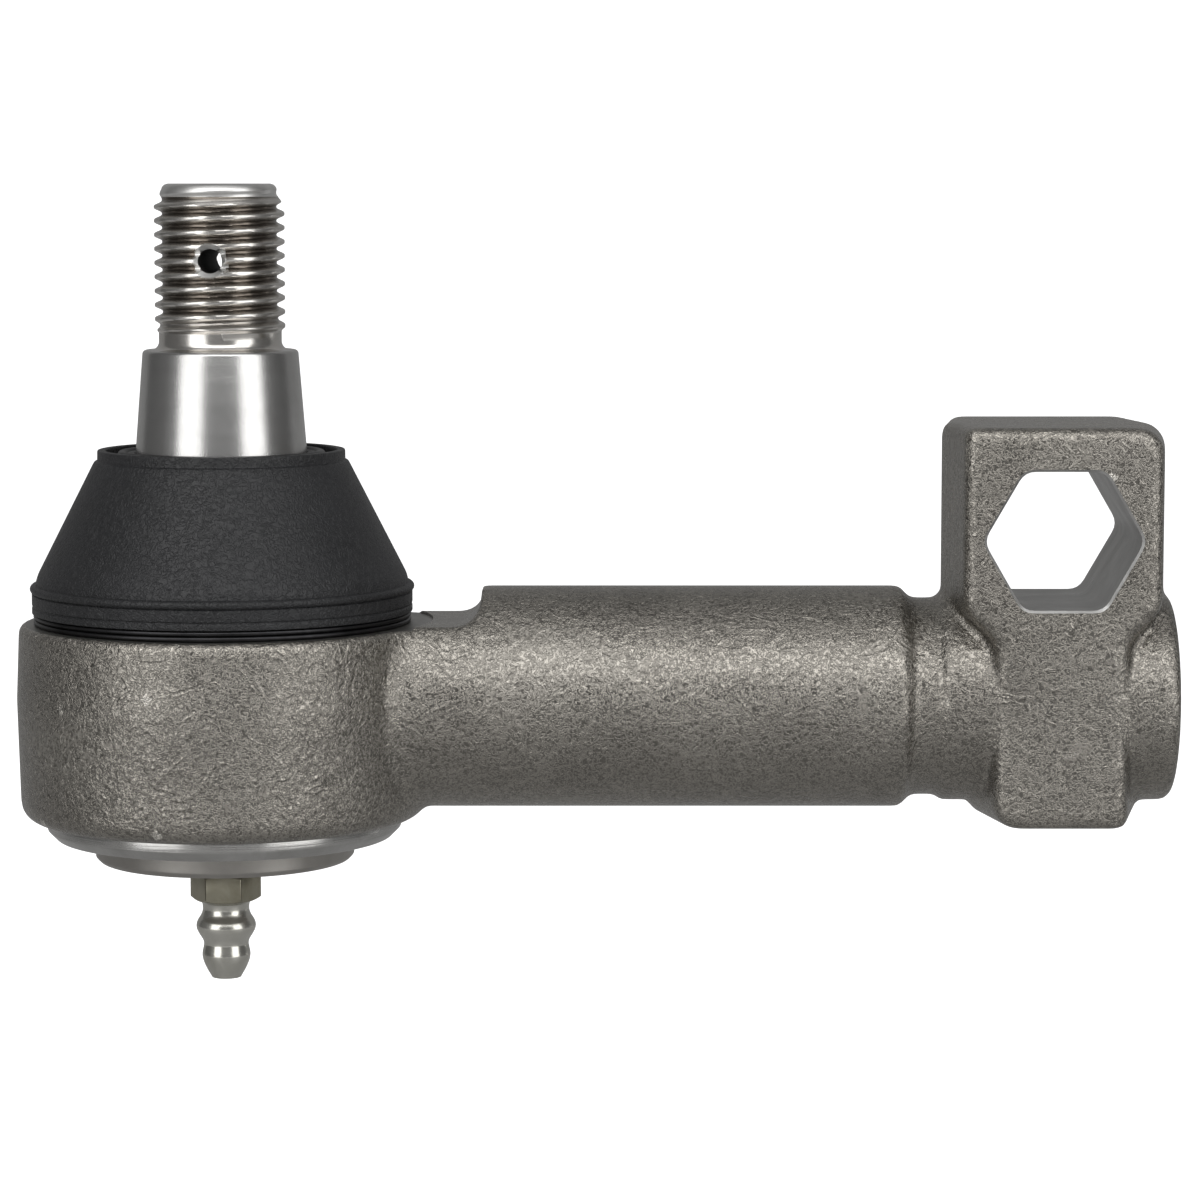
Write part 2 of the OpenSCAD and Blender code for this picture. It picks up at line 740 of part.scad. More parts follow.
module dust_boot() {
    top_r = boot_collar_d / 2;
    lip_z = eye_top + boot_lip_h;
    bead_z = band_low + soft_gap;
    bead_r = foot_inner - spigot_groove;
    // The cone is the tangent from the collar's ledge to the bend over the lip
    bend_x = cone_low_d / 2 - boot_bend;
    run = top_r + collar_ledge - bend_x;
    rise = collar_low - lip_z;
    lean = atan2(rise, run) - acos(boot_bend / norm([run, rise]));
    inner_bend = boot_bend - boot_wall;
    outer = concat(
        [[foot_inner, eye_top], [foot_r, eye_top], [foot_r, band_low], [boot_r, band_low], [boot_r, lip_z]],
        arc(bend_x, lip_z, boot_bend, 0, lean),
        [[top_r + collar_ledge, collar_low], [top_r, collar_low], [top_r, boot_top]],
        [[top_r - boot_rim, boot_top], [top_r - boot_rim, garter_low]]
    );
    seal = [
        [garter_in, garter_low],
        [garter_in, seal_top],
        [taper_r(seal_top) + soft_gap, seal_top],
        [taper_r(seal_low) + soft_gap, seal_low]
    ];
    inner = [
        [bend_x + (inner_bend - (seal_low - lip_z) * sin(lean)) / cos(lean), seal_low],
        [bend_x + inner_bend * cos(lean), lip_z + inner_bend * sin(lean)],
        [foot_inner, lip_z],
        [foot_inner, bead_z + bead_h - 2 * soft_gap],
        [bead_r, bead_z + bead_h - 2 * soft_gap],
        [bead_r, bead_z],
        [foot_inner, bead_z]
    ];
    color(rubber) at_ball() rotate_extrude() {
        polygon(concat(outer, seal, inner));
        translate([(boot_lip_d - boot_lip_bead) / 2, lip_z]) circle(d = boot_lip_bead, $fn = 32);
    }
}

// A wire of nearly two turns, which steps up from the first to the second turn between its own ends,
// holds the boot's foot in the groove of the eye's neck
module boot_wire_ring() {
    r = foot_r + soft_gap + ring_wire / 2;
    low = eye_top + soft_gap + ring_wire / 2;
    pitch = ring_wire + touch_gap;
    step_turn = 24;
    end_gap = 6;
    sweep = 720 - step_turn - 2 * end_gap;
    rings = sweep / 6;
    heights = [
        for (i = [0:rings])
            let (a = sweep * i / rings, climb = (a - 360 + step_turn + end_gap) / step_turn)
            low + pitch * min(1, max(0, climb))
    ];
    color(turned) at_ball() rotate([0, 0, ring_turn]) coil(r, ring_wire, heights, sweep);
}

// A spring ring in the collar keeps the boot's lip on the taper
module boot_garter_ring() {
    r = garter_in + soft_gap + garter_wire / 2;
    color(turned) at_ball() translate([0, 0, garter_low + garter_wire / 2 + touch_gap])
        rotate_extrude() translate([r, 0]) circle(d = garter_wire, $fn = 32);
}

housing();
ball_stud();
upper_race();
lower_race();
disc_spring();
end_cover();
cover_seal();
grease_nipple();
check_ball();
check_spring();
dust_boot();
boot_wire_ring();
boot_garter_ring();
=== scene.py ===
# Tie rod end in a plain studio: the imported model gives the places, this script gives the looks.
# Sizes are in millimetres until a mesh is drawn. Heights and radii of round pieces count from
# the ball's centre.
import math

import bpy
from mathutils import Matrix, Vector


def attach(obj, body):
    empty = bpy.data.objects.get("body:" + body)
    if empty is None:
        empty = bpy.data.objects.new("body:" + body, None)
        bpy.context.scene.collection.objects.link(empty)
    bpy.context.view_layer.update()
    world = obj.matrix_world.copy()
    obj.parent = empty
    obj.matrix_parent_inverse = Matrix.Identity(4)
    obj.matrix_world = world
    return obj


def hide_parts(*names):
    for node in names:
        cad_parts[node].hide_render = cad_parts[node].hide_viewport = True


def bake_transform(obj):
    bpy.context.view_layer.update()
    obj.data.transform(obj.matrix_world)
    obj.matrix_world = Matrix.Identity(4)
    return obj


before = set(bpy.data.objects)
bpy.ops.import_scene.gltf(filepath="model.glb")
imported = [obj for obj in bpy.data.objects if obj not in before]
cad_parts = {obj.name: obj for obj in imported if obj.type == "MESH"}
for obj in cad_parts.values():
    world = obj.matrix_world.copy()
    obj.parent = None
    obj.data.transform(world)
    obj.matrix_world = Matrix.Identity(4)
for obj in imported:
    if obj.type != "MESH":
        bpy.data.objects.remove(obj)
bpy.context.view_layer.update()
mm = 0.001
ballX = -101.7                      # the ball stands this far from the rod socket's mouth
print("frame loaded:", len(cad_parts), "nodes")


# tools that the pieces share

def selectNothing():
    if bpy.context.object and bpy.context.object.mode == "EDIT":
        bpy.ops.object.mode_set(mode="OBJECT")
    bpy.ops.object.select_all(action="DESELECT")


def pickOnly(obj):
    selectNothing()
    obj.select_set(True)
    bpy.context.view_layer.objects.active = obj


def faceOutwards():
    # turns all faces of the mesh in edit mode outwards, and leaves edit mode
    bpy.ops.mesh.select_all(action="SELECT")
    bpy.ops.mesh.normals_make_consistent(inside=False)
    bpy.ops.object.mode_set(mode="OBJECT")


def useModifier(obj, kind, **values):
    pickOnly(obj)
    modifier = obj.modifiers.new(kind.lower(), kind)
    for key, value in values.items():
        setattr(modifier, key, value)
    bpy.ops.object.modifier_apply(modifier=modifier.name)


def cutWith(obj, tool, operation="DIFFERENCE"):
    useModifier(obj, "BOOLEAN", object=tool, operation=operation, solver="EXACT")
    bpy.data.objects.remove(tool, do_unlink=True)


def joinAll(name, objs):
    pickOnly(objs[0])
    for obj in objs[1:]:
        obj.select_set(True)
    bpy.ops.object.join()
    objs[0].name = name
    return objs[0]


def clamped(value):
    return max(0.0, min(1.0, value))


def arc(middle, radius, start, stop, steps=6):
    # points from one angle to another, in degrees
    angles = [math.radians(start + (stop - start) * i / steps) for i in range(steps + 1)]
    return [(middle[0] + radius * math.cos(a), middle[1] + radius * math.sin(a)) for a in angles]


def softened(points, radius, closed=False, steps=3):
    # the same outline with its corners rounded
    mostOfSide = 0.45               # a corner takes less than half of each side
    out = []
    last = len(points) - 1
    for i, here in enumerate(points):
        if not closed and i in (0, last):
            out.append(here)
            continue
        corner = Vector(here)
        before = Vector(points[i - 1]) - corner
        after = Vector(points[(i + 1) % len(points)]) - corner
        reach = min(radius, before.length * mostOfSide, after.length * mostOfSide)
        a = corner + before.normalized() * reach
        b = corner + after.normalized() * reach
        for k in range(steps + 1):
            t = k / steps
            out.append(tuple(a.lerp(corner, t).lerp(corner.lerp(b, t), t)))
    return out


def flowing(points, steps=6):
    # a smooth curve through the points
    out = []
    for i in range(len(points) - 1):
        p0, p1 = Vector(points[max(i - 1, 0)]), Vector(points[i])
        p2, p3 = Vector(points[i + 1]), Vector(points[min(i + 2, len(points) - 1)])
        for k in range(steps):
            t = k / steps
            out.append(tuple(0.5 * (2 * p1 + (p2 - p0) * t + (2 * p0 - 5 * p1 + 4 * p2 - p3) * t * t
                                    + (3 * p1 - p0 - 3 * p2 + p3) * t ** 3)))
    return out + [tuple(points[-1])]


def drawLine(name, points, closed=False):
    # one corner of a small plane, drawn out from point to point; stays in edit mode
    selectNothing()
    bpy.ops.mesh.primitive_plane_add(size=mm, location=(0, 0, 0))
    obj = bpy.context.object
    obj.name = name
    bpy.ops.object.mode_set(mode="EDIT")
    bpy.ops.mesh.merge(type="CENTER")
    bpy.ops.transform.translate(value=Vector(points[0]) * mm)
    path = list(points) + ([points[0]] if closed else [])
    for a, b in zip(path, path[1:]):
        bpy.ops.mesh.extrude_region_move(
            TRANSFORM_OT_translate={"value": (Vector(b) - Vector(a)) * mm})
    bpy.ops.mesh.select_all(action="SELECT")
    bpy.ops.mesh.remove_doubles(threshold=1e-6)
    return obj


def turned(name, profile, steps=96, alongX=False, closed=False):
    # profile is (radius, height) round the ball's axis, or (x, radius) round the shank's axis
    if alongX:
        points = [(x, 0, r) for x, r in profile]
        middle, axis = (0, 0, 0), (1, 0, 0)
    else:
        points = [(ballX + r, 0, z) for r, z in profile]
        middle, axis = (ballX * mm, 0, 0), (0, 0, 1)
    obj = drawLine(name, points, closed)
    bpy.ops.mesh.spin(steps=steps, angle=2 * math.pi, center=middle, axis=axis)
    bpy.ops.mesh.select_all(action="SELECT")
    bpy.ops.mesh.remove_doubles(threshold=1e-6)
    faceOutwards()
    return obj


def plate(name, outline, low, high):
    # an outline in x and z, drawn out across y
    obj = drawLine(name, [(x, low, z) for x, z in outline], closed=True)
    bpy.ops.mesh.edge_face_add()
    bpy.ops.mesh.extrude_region_move(TRANSFORM_OT_translate={"value": (0, (high - low) * mm, 0)})
    faceOutwards()
    return obj


def screwRadius(angle, along, pitch, root, crest):
    # radius of a 60 degree thread at a place on its flank
    turn = (along / pitch - angle / (2 * math.pi)) % 1.0
    height = pitch * 0.866          # of the sharp triangle, whose top eighth is cut off
    sharp = crest + height / 8 - height * abs(2 * turn - 1)
    return max(root, min(crest, sharp))


def rolledRadius(angle, along, pitch, root, crest):
    # radius of a rolled thread, whose crests and roots are round
    rootShare, flankShare = 0.10, 0.74      # of half a turn
    turn = (along / pitch - angle / (2 * math.pi)) % 1.0
    share = clamped((1 - abs(2 * turn - 1) - rootShare) / flankShare)
    return root + (crest - root) * (0.5 - 0.5 * math.cos(math.pi * share))


def dress(obj, materials, body, replaced, smooth=35):
    # a piece that rides on one body is told so here
    pickOnly(obj)
    bpy.ops.object.shade_smooth_by_angle(angle=math.radians(smooth))
    obj.data.materials.clear()
    for material in materials:
        obj.data.materials.append(material)
    if body:
        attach(obj, body)
    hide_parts(replaced)


# tools for materials

def node(tree, kind, settings=None, **values):
    # a node with its settings, and numbers or links for its inputs: _0 is the first input
    made = tree.nodes.new("ShaderNode" + kind)
    for key, value in (settings or {}).items():
        setattr(made, key, value)
    for key, value in values.items():
        counted = key[0] == "_" and key[1:].isdigit()
        socket = made.inputs[int(key[1:]) if counted else key.replace("_", " ")]
        if isinstance(value, bpy.types.NodeSocket):
            tree.links.new(value, socket)
        else:
            socket.default_value = value
    return made


def maths(tree, operation, *values):
    inputs = {"_%d" % i: value for i, value in enumerate(values)}
    return node(tree, "Math", {"operation": operation}, **inputs).outputs[0]


def groupNode(tree, group, **values):
    return node(tree, "Group", {"node_tree": group}, **values).outputs


def newMaterial(name, metallic, **plain):
    # returns the material, its tree, its shader and the piece's own coordinates
    material = bpy.data.materials.new(name)
    material.use_nodes = True
    tree = material.node_tree
    shader = tree.nodes["Principled BSDF"]
    shader.inputs["Metallic"].default_value = metallic
    for key, value in plain.items():
        shader.inputs[key.replace("_", " ")].default_value = value
    return material, tree, shader, node(tree, "TexCoord").outputs["Object"]


# camera and studio

cameraValues = {"place": (-60.8, -431.62, 55.81), "tiltDown": 6.0, "lens": 120.0, "sensor": 36,
                "nearest": 0.01, "farthest": 50}
bpy.ops.object.select_all(action="DESELECT")
bpy.ops.object.camera_add(
    location=Vector(cameraValues["place"]) * mm,
    rotation=(math.radians(90 - cameraValues["tiltDown"]), 0, 0))
camera = bpy.context.object
camera.name = "photoCamera"
camera.data.lens = cameraValues["lens"]
camera.data.sensor_width = cameraValues["sensor"]
camera.data.clip_start = cameraValues["nearest"]
camera.data.clip_end = cameraValues["farthest"]
bpy.context.scene.camera = camera
bpy.context.scene.view_settings.view_transform = "Standard"

studio = {                          # in metres
    "middle": (-0.075, 0, 0.01),
    "floorHeight": -0.13,           # under the part, which its rod socket holds in the air
    "floorWidth": 3.4, "floorFront": -1.4, "floorBack": 2.4, "wallHeight": 0.6, "bend": 0.3,
    "paper": (0.80, 0.80, 0.80), "paperRoughness": 0.9, "paperShine": 0.1,
    "glowFrom": 0.12, "glowTo": 0.28,   # the paper is lit up behind the part, from here to here
    "room": (0.25, 0.25, 0.252),
    # name, compass degrees from the camera, height in degrees, distance, width, height, brightness
    "softboxes": [
        ("leftBox", -40, 18, 0.90, 0.54, 1.20, 2.1),
        ("rightBox", 50, 18, 0.90, 0.58, 1.20, 2.1),
        ("frontBox", 0, 43, 0.95, 0.90, 0.56, 2.4),
        ("topBox", 0, 80, 0.95, 1.0, 0.30, 0.5),
    ],
    # name, compass degrees from the camera, height in degrees, distance, width, height, tone
    "cards": [
        ("leftCard", -99, 8, 0.8, 0.72, 1.5, 0.11),
        ("rightCard", 91, 8, 0.8, 0.72, 1.5, 0.11),
        ("backCard", 180, 10, 0.55, 1.9, 1.3, 0.25),
        ("lowCard", 0, -90, 0.132, 1.6, 1.1, 0.30),
    ],
    "cardPaint": (0.02, 0.02, 0.02),
}
studioMiddle = Vector(studio["middle"])


def towards(compass, rise, distance):
    # a place round the part, counted from where the camera stands
    a, b = math.radians(compass), math.radians(rise)
    direction = Vector((math.sin(a) * math.cos(b), -math.cos(a) * math.cos(b), math.sin(b)))
    return studioMiddle + distance * direction


def makePaper():
    # floor, bend and low wall in one sweep
    height, half = studio["floorHeight"], studio["floorWidth"] / 2
    front, back = studio["floorFront"], studio["floorBack"]
    bpy.ops.object.select_all(action="DESELECT")
    bpy.ops.mesh.primitive_plane_add(size=1, location=(0, (front + back) / 2, height))
    paper = bpy.context.object
    paper.name = "paperSweep"
    bpy.ops.object.mode_set(mode="EDIT")
    bpy.ops.transform.resize(value=(2 * half, back - front, 1))
    bpy.ops.mesh.select_all(action="DESELECT")
    bpy.ops.object.mode_set(mode="OBJECT")
    for edge in paper.data.edges:
        ends = [paper.data.vertices[i] for i in edge.vertices]
        edge.select = all(end.co.y > 0 for end in ends)
        for end in ends:
            end.select = end.select or edge.select
    bpy.ops.object.mode_set(mode="EDIT")
    bpy.ops.mesh.extrude_region_move(
        TRANSFORM_OT_translate={"value": (0, 0, studio["wallHeight"])})
    bpy.ops.object.mode_set(mode="OBJECT")
    bpy.ops.object.transform_apply(location=True, rotation=True, scale=True)
    useModifier(paper, "BEVEL", width=studio["bend"], segments=16, limit_method="ANGLE")
    bpy.ops.object.shade_smooth()

    material, tree, shader, place = newMaterial(
        "paper", 0.0, Base_Color=(*studio["paper"], 1), Roughness=studio["paperRoughness"],
        Specular_IOR_Level=studio["paperShine"], Emission_Color=(1, 1, 1, 1))
    depth = node(tree, "SeparateXYZ", _0=place).outputs["Y"]
    glow = node(tree, "MapRange", {"interpolation_type": "SMOOTHSTEP"}, Value=depth,
                From_Min=studio["glowFrom"], From_Max=studio["glowTo"]).outputs["Result"]
    ray = node(tree, "LightPath").outputs
    seen = ray["Is Camera Ray"]
    for name in ("Is Glossy Ray", "Is Transmission Ray"):
        seen = maths(tree, "MAXIMUM", seen, ray[name])
    tree.links.new(maths(tree, "MULTIPLY", seen, glow), shader.inputs["Emission Strength"])
    paper.data.materials.append(material)


def makeCards():
    # grey cards round the part give its steel something darker than paper to mirror
    for name, compass, rise, distance, width, height, tone in studio["cards"]:
        grey = newMaterial(name, 0.0, Base_Color=(*studio["cardPaint"], 1),
                           Emission_Color=(tone, tone, tone, 1), Emission_Strength=1.0)[0]
        place = towards(compass, rise, distance)
        bpy.ops.object.select_all(action="DESELECT")
        bpy.ops.mesh.primitive_plane_add(
            size=1, location=place,
            rotation=(place - studioMiddle).to_track_quat("Z", "Y").to_euler())
        card = bpy.context.object
        card.name = name
        card.scale = (width, height, 1)
        bpy.ops.object.transform_apply(location=True, rotation=True, scale=True)
        card.visible_camera = card.visible_shadow = card.visible_diffuse = False
        card.data.materials.append(grey)


def makeLamps():
    world = bpy.data.worlds.new("room")
    bpy.context.scene.world = world
    world.use_nodes = True
    world.node_tree.nodes["Background"].inputs["Color"].default_value = (*studio["room"], 1)
    for name, compass, rise, distance, width, height, brightness in studio["softboxes"]:
        place = towards(compass, rise, distance)
        bpy.ops.object.light_add(type="AREA", location=place)
        lamp = bpy.context.object
        lamp.name = name
        lamp.data.shape = "RECTANGLE"
        lamp.data.size = width
        lamp.data.size_y = height
        lamp.data.energy = brightness * math.pi * width * height
        lamp.rotation_euler = (studioMiddle - place).to_track_quat("-Z", "Y").to_euler()
        lamp.visible_camera = False


makePaper()
makeCards()
makeLamps()
print("studio ready")


# effects that several finishes share

def newGroup(name, numbers, outputs):
    # a node group with a Vector, and numbers that are given with their defaults
    group = bpy.data.node_groups.new(name, "ShaderNodeTree")
    group.interface.new_socket("Vector", in_out="INPUT", socket_type="NodeSocketVector")
    for label, value in numbers.items():
        socket = group.interface.new_socket(label, in_out="INPUT", socket_type="NodeSocketFloat")
        socket.default_value = value
    for label in outputs:
        group.interface.new_socket(label, in_out="OUTPUT", socket_type="NodeSocketFloat")
    enter, leave = group.nodes.new("NodeGroupInput"), group.nodes.new("NodeGroupOutput")
    return group, enter.outputs, leave.inputs


def makeGrainGroup():
    # short winding ridges, as shot leaves on steel or a mould leaves on rubber
    ridgeWidth, finerBy = 0.28, 2.7
    group, enter, leave = newGroup(
        "windingGrain", {"Scale": 700.0, "Fine": 0.35}, ["Height", "Ridge"])
    wide = node(group, "TexNoise", Vector=enter["Vector"], Scale=enter["Scale"],
                Detail=1.5, Roughness=0.5, Distortion=1.3).outputs["Fac"]
    fold = maths(group, "ABSOLUTE", maths(group, "MULTIPLY_ADD", wide, 2.0, -1.0))
    ridge = node(group, "MapRange", {"interpolation_type": "SMOOTHSTEP"}, Value=fold,
                 From_Min=0.0, From_Max=ridgeWidth, To_Min=1.0, To_Max=0.0).outputs["Result"]
    small = node(group, "TexNoise", Vector=enter["Vector"],
                 Scale=maths(group, "MULTIPLY", enter["Scale"], finerBy),
                 Detail=2.0, Roughness=0.6).outputs["Fac"]
    tiny = maths(group, "MULTIPLY", small, enter["Fine"])
    group.links.new(maths(group, "ADD", ridge, tiny), leave["Height"])
    group.links.new(ridge, leave["Ridge"])
    return group


def makeMarksGroup():
    # fine lines left by turning or grinding round the Z axis of the incoming vector
    broaderBy = 0.22
    group, enter, leave = newGroup(
        "turningMarks", {"Scale": 2500.0, "Stray": 0.01}, ["Height", "Streak", "Radius"])
    parts = node(group, "SeparateXYZ", Vector=enter["Vector"]).outputs
    xx = maths(group, "MULTIPLY", parts["X"], parts["X"])
    radius = maths(group, "SQRT", maths(group, "MULTIPLY_ADD", parts["Y"], parts["Y"], xx))
    rise = node(group, "CombineXYZ", X=radius, Z=parts["Z"]).outputs[0]
    stray = node(group, "VectorMath", {"operation": "SCALE"},
                 _0=enter["Vector"], Scale=enter["Stray"]).outputs[0]
    place = node(group, "VectorMath", {"operation": "ADD"}, _0=rise, _1=stray).outputs[0]
    lines = node(group, "TexNoise", Vector=place, Scale=enter["Scale"], Detail=3.0, Roughness=0.7)
    bands = node(group, "TexNoise", Vector=place, Detail=2.0, Roughness=0.5,
                 Scale=maths(group, "MULTIPLY", enter["Scale"], broaderBy))
    group.links.new(lines.outputs["Fac"], leave["Height"])
    group.links.new(bands.outputs["Fac"], leave["Streak"])
    group.links.new(radius, leave["Radius"])
    return group


def makePatinaGroup():
    # uneven patches, from 0 to 1
    group, enter, leave = newGroup("patches", {"Scale": 60.0, "Contrast": 0.2}, ["Mask"])
    cloud = node(group, "TexNoise", Vector=enter["Vector"], Scale=enter["Scale"],
                 Detail=5.0, Roughness=0.62, Distortion=0.4).outputs["Fac"]
    mask = node(group, "MapRange", Value=cloud,
                From_Min=maths(group, "SUBTRACT", 0.5, enter["Contrast"]),
                From_Max=maths(group, "ADD", 0.5, enter["Contrast"])).outputs["Result"]
    group.links.new(mask, leave["Mask"])
    return group


def makeWearAndHighlightGroup():
    # raised edges painted bright, partly as wear from rubbing and partly as a painted highlight
    # along the edges, broken up by patches
    group, enter, leave = newGroup("rubbedAndHighlitEdges", {"From": 0.53, "To": 0.62}, ["Mask"])
    raised = node(group, "NewGeometry").outputs["Pointiness"]
    edge = node(group, "MapRange", {"interpolation_type": "SMOOTHSTEP"}, Value=raised,
                From_Min=enter["From"], From_Max=enter["To"]).outputs["Result"]
    rub = node(group, "TexNoise", Vector=enter["Vector"], Scale=420.0, Detail=3.0).outputs["Fac"]
    keep = node(group, "MapRange", Value=rub,
                From_Min=0.32, From_Max=0.6, To_Min=0.25).outputs["Result"]
    group.links.new(maths(group, "MULTIPLY", edge, keep), leave["Mask"])
    return group


grainGroup = makeGrainGroup()
marksGroup = makeMarksGroup()
patinaGroup = makePatinaGroup()
wearAndHighlightGroup = makeWearAndHighlightGroup()


# materials

def aroundAxis(tree, place, axis):
    # coordinates whose Z runs along the axis that the piece was turned on
    turns = {"ball": {"Location": (-ballX * mm, 0, 0)},
             "x": {"Rotation": (0, math.radians(-90), 0)},
             "y": {"Rotation": (math.radians(90), 0, 0)}}
    return node(tree, "Mapping", Vector=place, **turns[axis]).outputs[0]


def blended(tree, mask, under, over):
    # each colour is three numbers, or a link from an earlier node
    under, over = [colour if isinstance(colour, bpy.types.NodeSocket) else (*colour, 1)
                   for colour in (under, over)]
    return node(tree, "Mix", {"data_type": "RGBA"}, _0=mask, _6=under, _7=over).outputs[2]


def between(tree, value, low, high):
    return node(tree, "MapRange", Value=value, To_Min=low, To_Max=high).outputs["Result"]


def bump(tree, shader, height, distance, under=None):
    made = node(tree, "Bump", Height=height, Distance=distance, Strength=1.0)
    if under:
        tree.links.new(under.outputs["Normal"], made.inputs["Normal"])
    tree.links.new(made.outputs["Normal"], shader.inputs["Normal"])
    return made


def makeForging(values):
    material, tree, shader, place = newMaterial(values["name"], values["metallic"])
    patches = groupNode(tree, patinaGroup, Vector=place, Scale=values["patchScale"],
                        Contrast=values["patchContrast"])["Mask"]
    rubbedAndHighlit = groupNode(tree, wearAndHighlightGroup, Vector=place, From=values["wearAndHighlightFrom"],
                       To=values["wearAndHighlightTo"])["Mask"]
    grain = groupNode(tree, grainGroup, Vector=place, Scale=values["grainScale"],
                      Fine=values["fine"])
    colour = blended(tree, patches, values["dark"], values["light"])
    # raised edges get a lighter colour: partly wear from rubbing, partly a painted highlight
    colour = blended(tree, rubbedAndHighlit, colour, values["rubbedAndHighlit"])
    # the grain's ridges are painted lighter: partly grain tone, partly painted glints where the
    # ridges would catch the light
    shade = between(tree, grain["Ridge"], *values["ridgeToneAndGlint"])
    colour = node(tree, "VectorMath", {"operation": "SCALE"}, _0=colour, Scale=shade).outputs[0]
    tree.links.new(colour, shader.inputs["Base Color"])
    rough = between(tree, patches, *values["roughness"])
    tree.links.new(rough, shader.inputs["Roughness"])
    slow = groupNode(tree, grainGroup, Vector=place, Fine=values["waveFine"],
                     Scale=values["grainScale"] * values["waveShare"])
    wave = bump(tree, shader, slow["Height"], values["waveDepth"] * mm)
    bump(tree, shader, grain["Height"], values["grainDepth"] * mm, under=wave)
    return material


def makeTurnedSteel(values):
    material, tree, shader, place = newMaterial(values["name"], 1.0)
    marks = groupNode(tree, marksGroup, Vector=aroundAxis(tree, place, values["axis"]),
                      Scale=values["lineScale"], Stray=values["stray"])
    patches = groupNode(tree, patinaGroup, Vector=place, Scale=values["patchScale"],
                        Contrast=0.2)["Mask"]
    colour = blended(tree, patches, values["dark"], values["light"])
    if values.get("paintedRootShade"):
        # painted shade in the roots of a thread: a darker colour inside a radius
        inner, outer = values["paintedRootShadeRadius"]
        outsideRootShade = node(tree, "MapRange", Value=marks["Radius"],
                     From_Min=inner * mm, From_Max=outer * mm).outputs["Result"]
        colour = blended(tree, outsideRootShade, values["paintedRootShade"], colour)
    tree.links.new(colour, shader.inputs["Base Color"])
    rough = between(tree, marks["Streak"], *values["roughness"])
    tree.links.new(rough, shader.inputs["Roughness"])
    lines = bump(tree, shader, marks["Height"], values["lineDepth"] * mm)
    if values.get("speckDepth"):
        specks = node(tree, "TexNoise", Vector=place, Scale=values["speckScale"], Detail=2.0)
        bump(tree, shader, specks.outputs["Fac"], values["speckDepth"] * mm, under=lines)
    return material


def makeRubber(values):
    material, tree, shader, place = newMaterial(
        values["name"], 0.0, Specular_IOR_Level=values["shine"])
    patches = groupNode(tree, patinaGroup, Vector=place, Scale=90.0, Contrast=0.2)["Mask"]
    grain = groupNode(tree, grainGroup, Vector=place, Scale=values["grainScale"], Fine=0.8)
    colour = blended(tree, patches, values["dark"], values["light"])
    tree.links.new(colour, shader.inputs["Base Color"])
    rough = between(tree, patches, *values["roughness"])
    tree.links.new(rough, shader.inputs["Roughness"])
    bump(tree, shader, grain["Height"], values["grainDepth"] * mm)
    return material


# scales count to the metre and depths are in millimetres
forging = makeForging({
    "name": "forgedSkin", "metallic": 0.92,
    # the colour for raised edges is partly wear from rubbing and partly a painted highlight
    "dark": (0.182, 0.171, 0.153), "light": (0.230, 0.217, 0.194), "rubbedAndHighlit": (0.48, 0.46, 0.42),
    "roughness": (0.22, 0.29), "patchScale": 70.0, "patchContrast": 0.16,
    # darker ground and lighter ridges of the grain: partly grain tone, partly painted glints
    "wearAndHighlightFrom": 0.53, "wearAndHighlightTo": 0.58, "ridgeToneAndGlint": (0.84, 1.55),
    "grainScale": 2200.0, "fine": 0.3, "grainDepth": 0.030,
    "waveShare": 0.16, "waveFine": 0.6, "waveDepth": 0.045})
spotSteel = makeTurnedSteel({
    "name": "facedSteel", "axis": "ball",
    "dark": (0.20, 0.195, 0.185), "light": (0.30, 0.295, 0.28), "roughness": (0.3, 0.5),
    "patchScale": 180.0, "lineScale": 2600.0, "stray": 0.01, "lineDepth": 0.012})
broachedSteel = makeTurnedSteel({
    "name": "broachedSteel", "axis": "y",
    "dark": (0.20, 0.195, 0.185), "light": (0.34, 0.335, 0.32), "roughness": (0.22, 0.40),
    "patchScale": 150.0, "lineScale": 900.0, "stray": 0.03, "lineDepth": 0.06})
tappedSteel = makeTurnedSteel({
    "name": "tappedSteel", "axis": "x",
    "dark": (0.24, 0.235, 0.225), "light": (0.36, 0.355, 0.34), "roughness": (0.28, 0.45),
    "patchScale": 180.0, "lineScale": 1800.0, "stray": 0.01, "lineDepth": 0.01})
groundSteel = makeTurnedSteel({
    "name": "groundSteel", "axis": "ball",
    "dark": (0.45, 0.445, 0.435), "light": (0.55, 0.545, 0.535), "roughness": (0.20, 0.28),
    "patchScale": 110.0, "lineScale": 3200.0, "stray": 0.004, "lineDepth": 0.004,
    "speckScale": 5500.0, "speckDepth": 0.010})
rolledSteel = makeTurnedSteel({
    "name": "rolledSteel", "axis": "ball",
    "dark": (0.50, 0.48, 0.45), "light": (0.66, 0.64, 0.61), "roughness": (0.18, 0.30),
    "patchScale": 240.0, "lineScale": 1500.0, "stray": 0.06, "lineDepth": 0.010,
    # painted shade in the thread's roots, between these radii
    "paintedRootShade": (0.15, 0.13, 0.11), "paintedRootShadeRadius": (6.15, 6.6)})
# bright machined ends and chamfers: partly the colour of fresh-cut steel, partly a painted
# highlight for light from above
facedEndWithHighlight = makeTurnedSteel({
    "name": "facedEndWithHighlight", "axis": "ball",
    "dark": (0.56, 0.555, 0.54), "light": (0.74, 0.735, 0.72), "roughness": (0.3, 0.45),
    "patchScale": 300.0, "lineScale": 2200.0, "stray": 0.03, "lineDepth": 0.012})
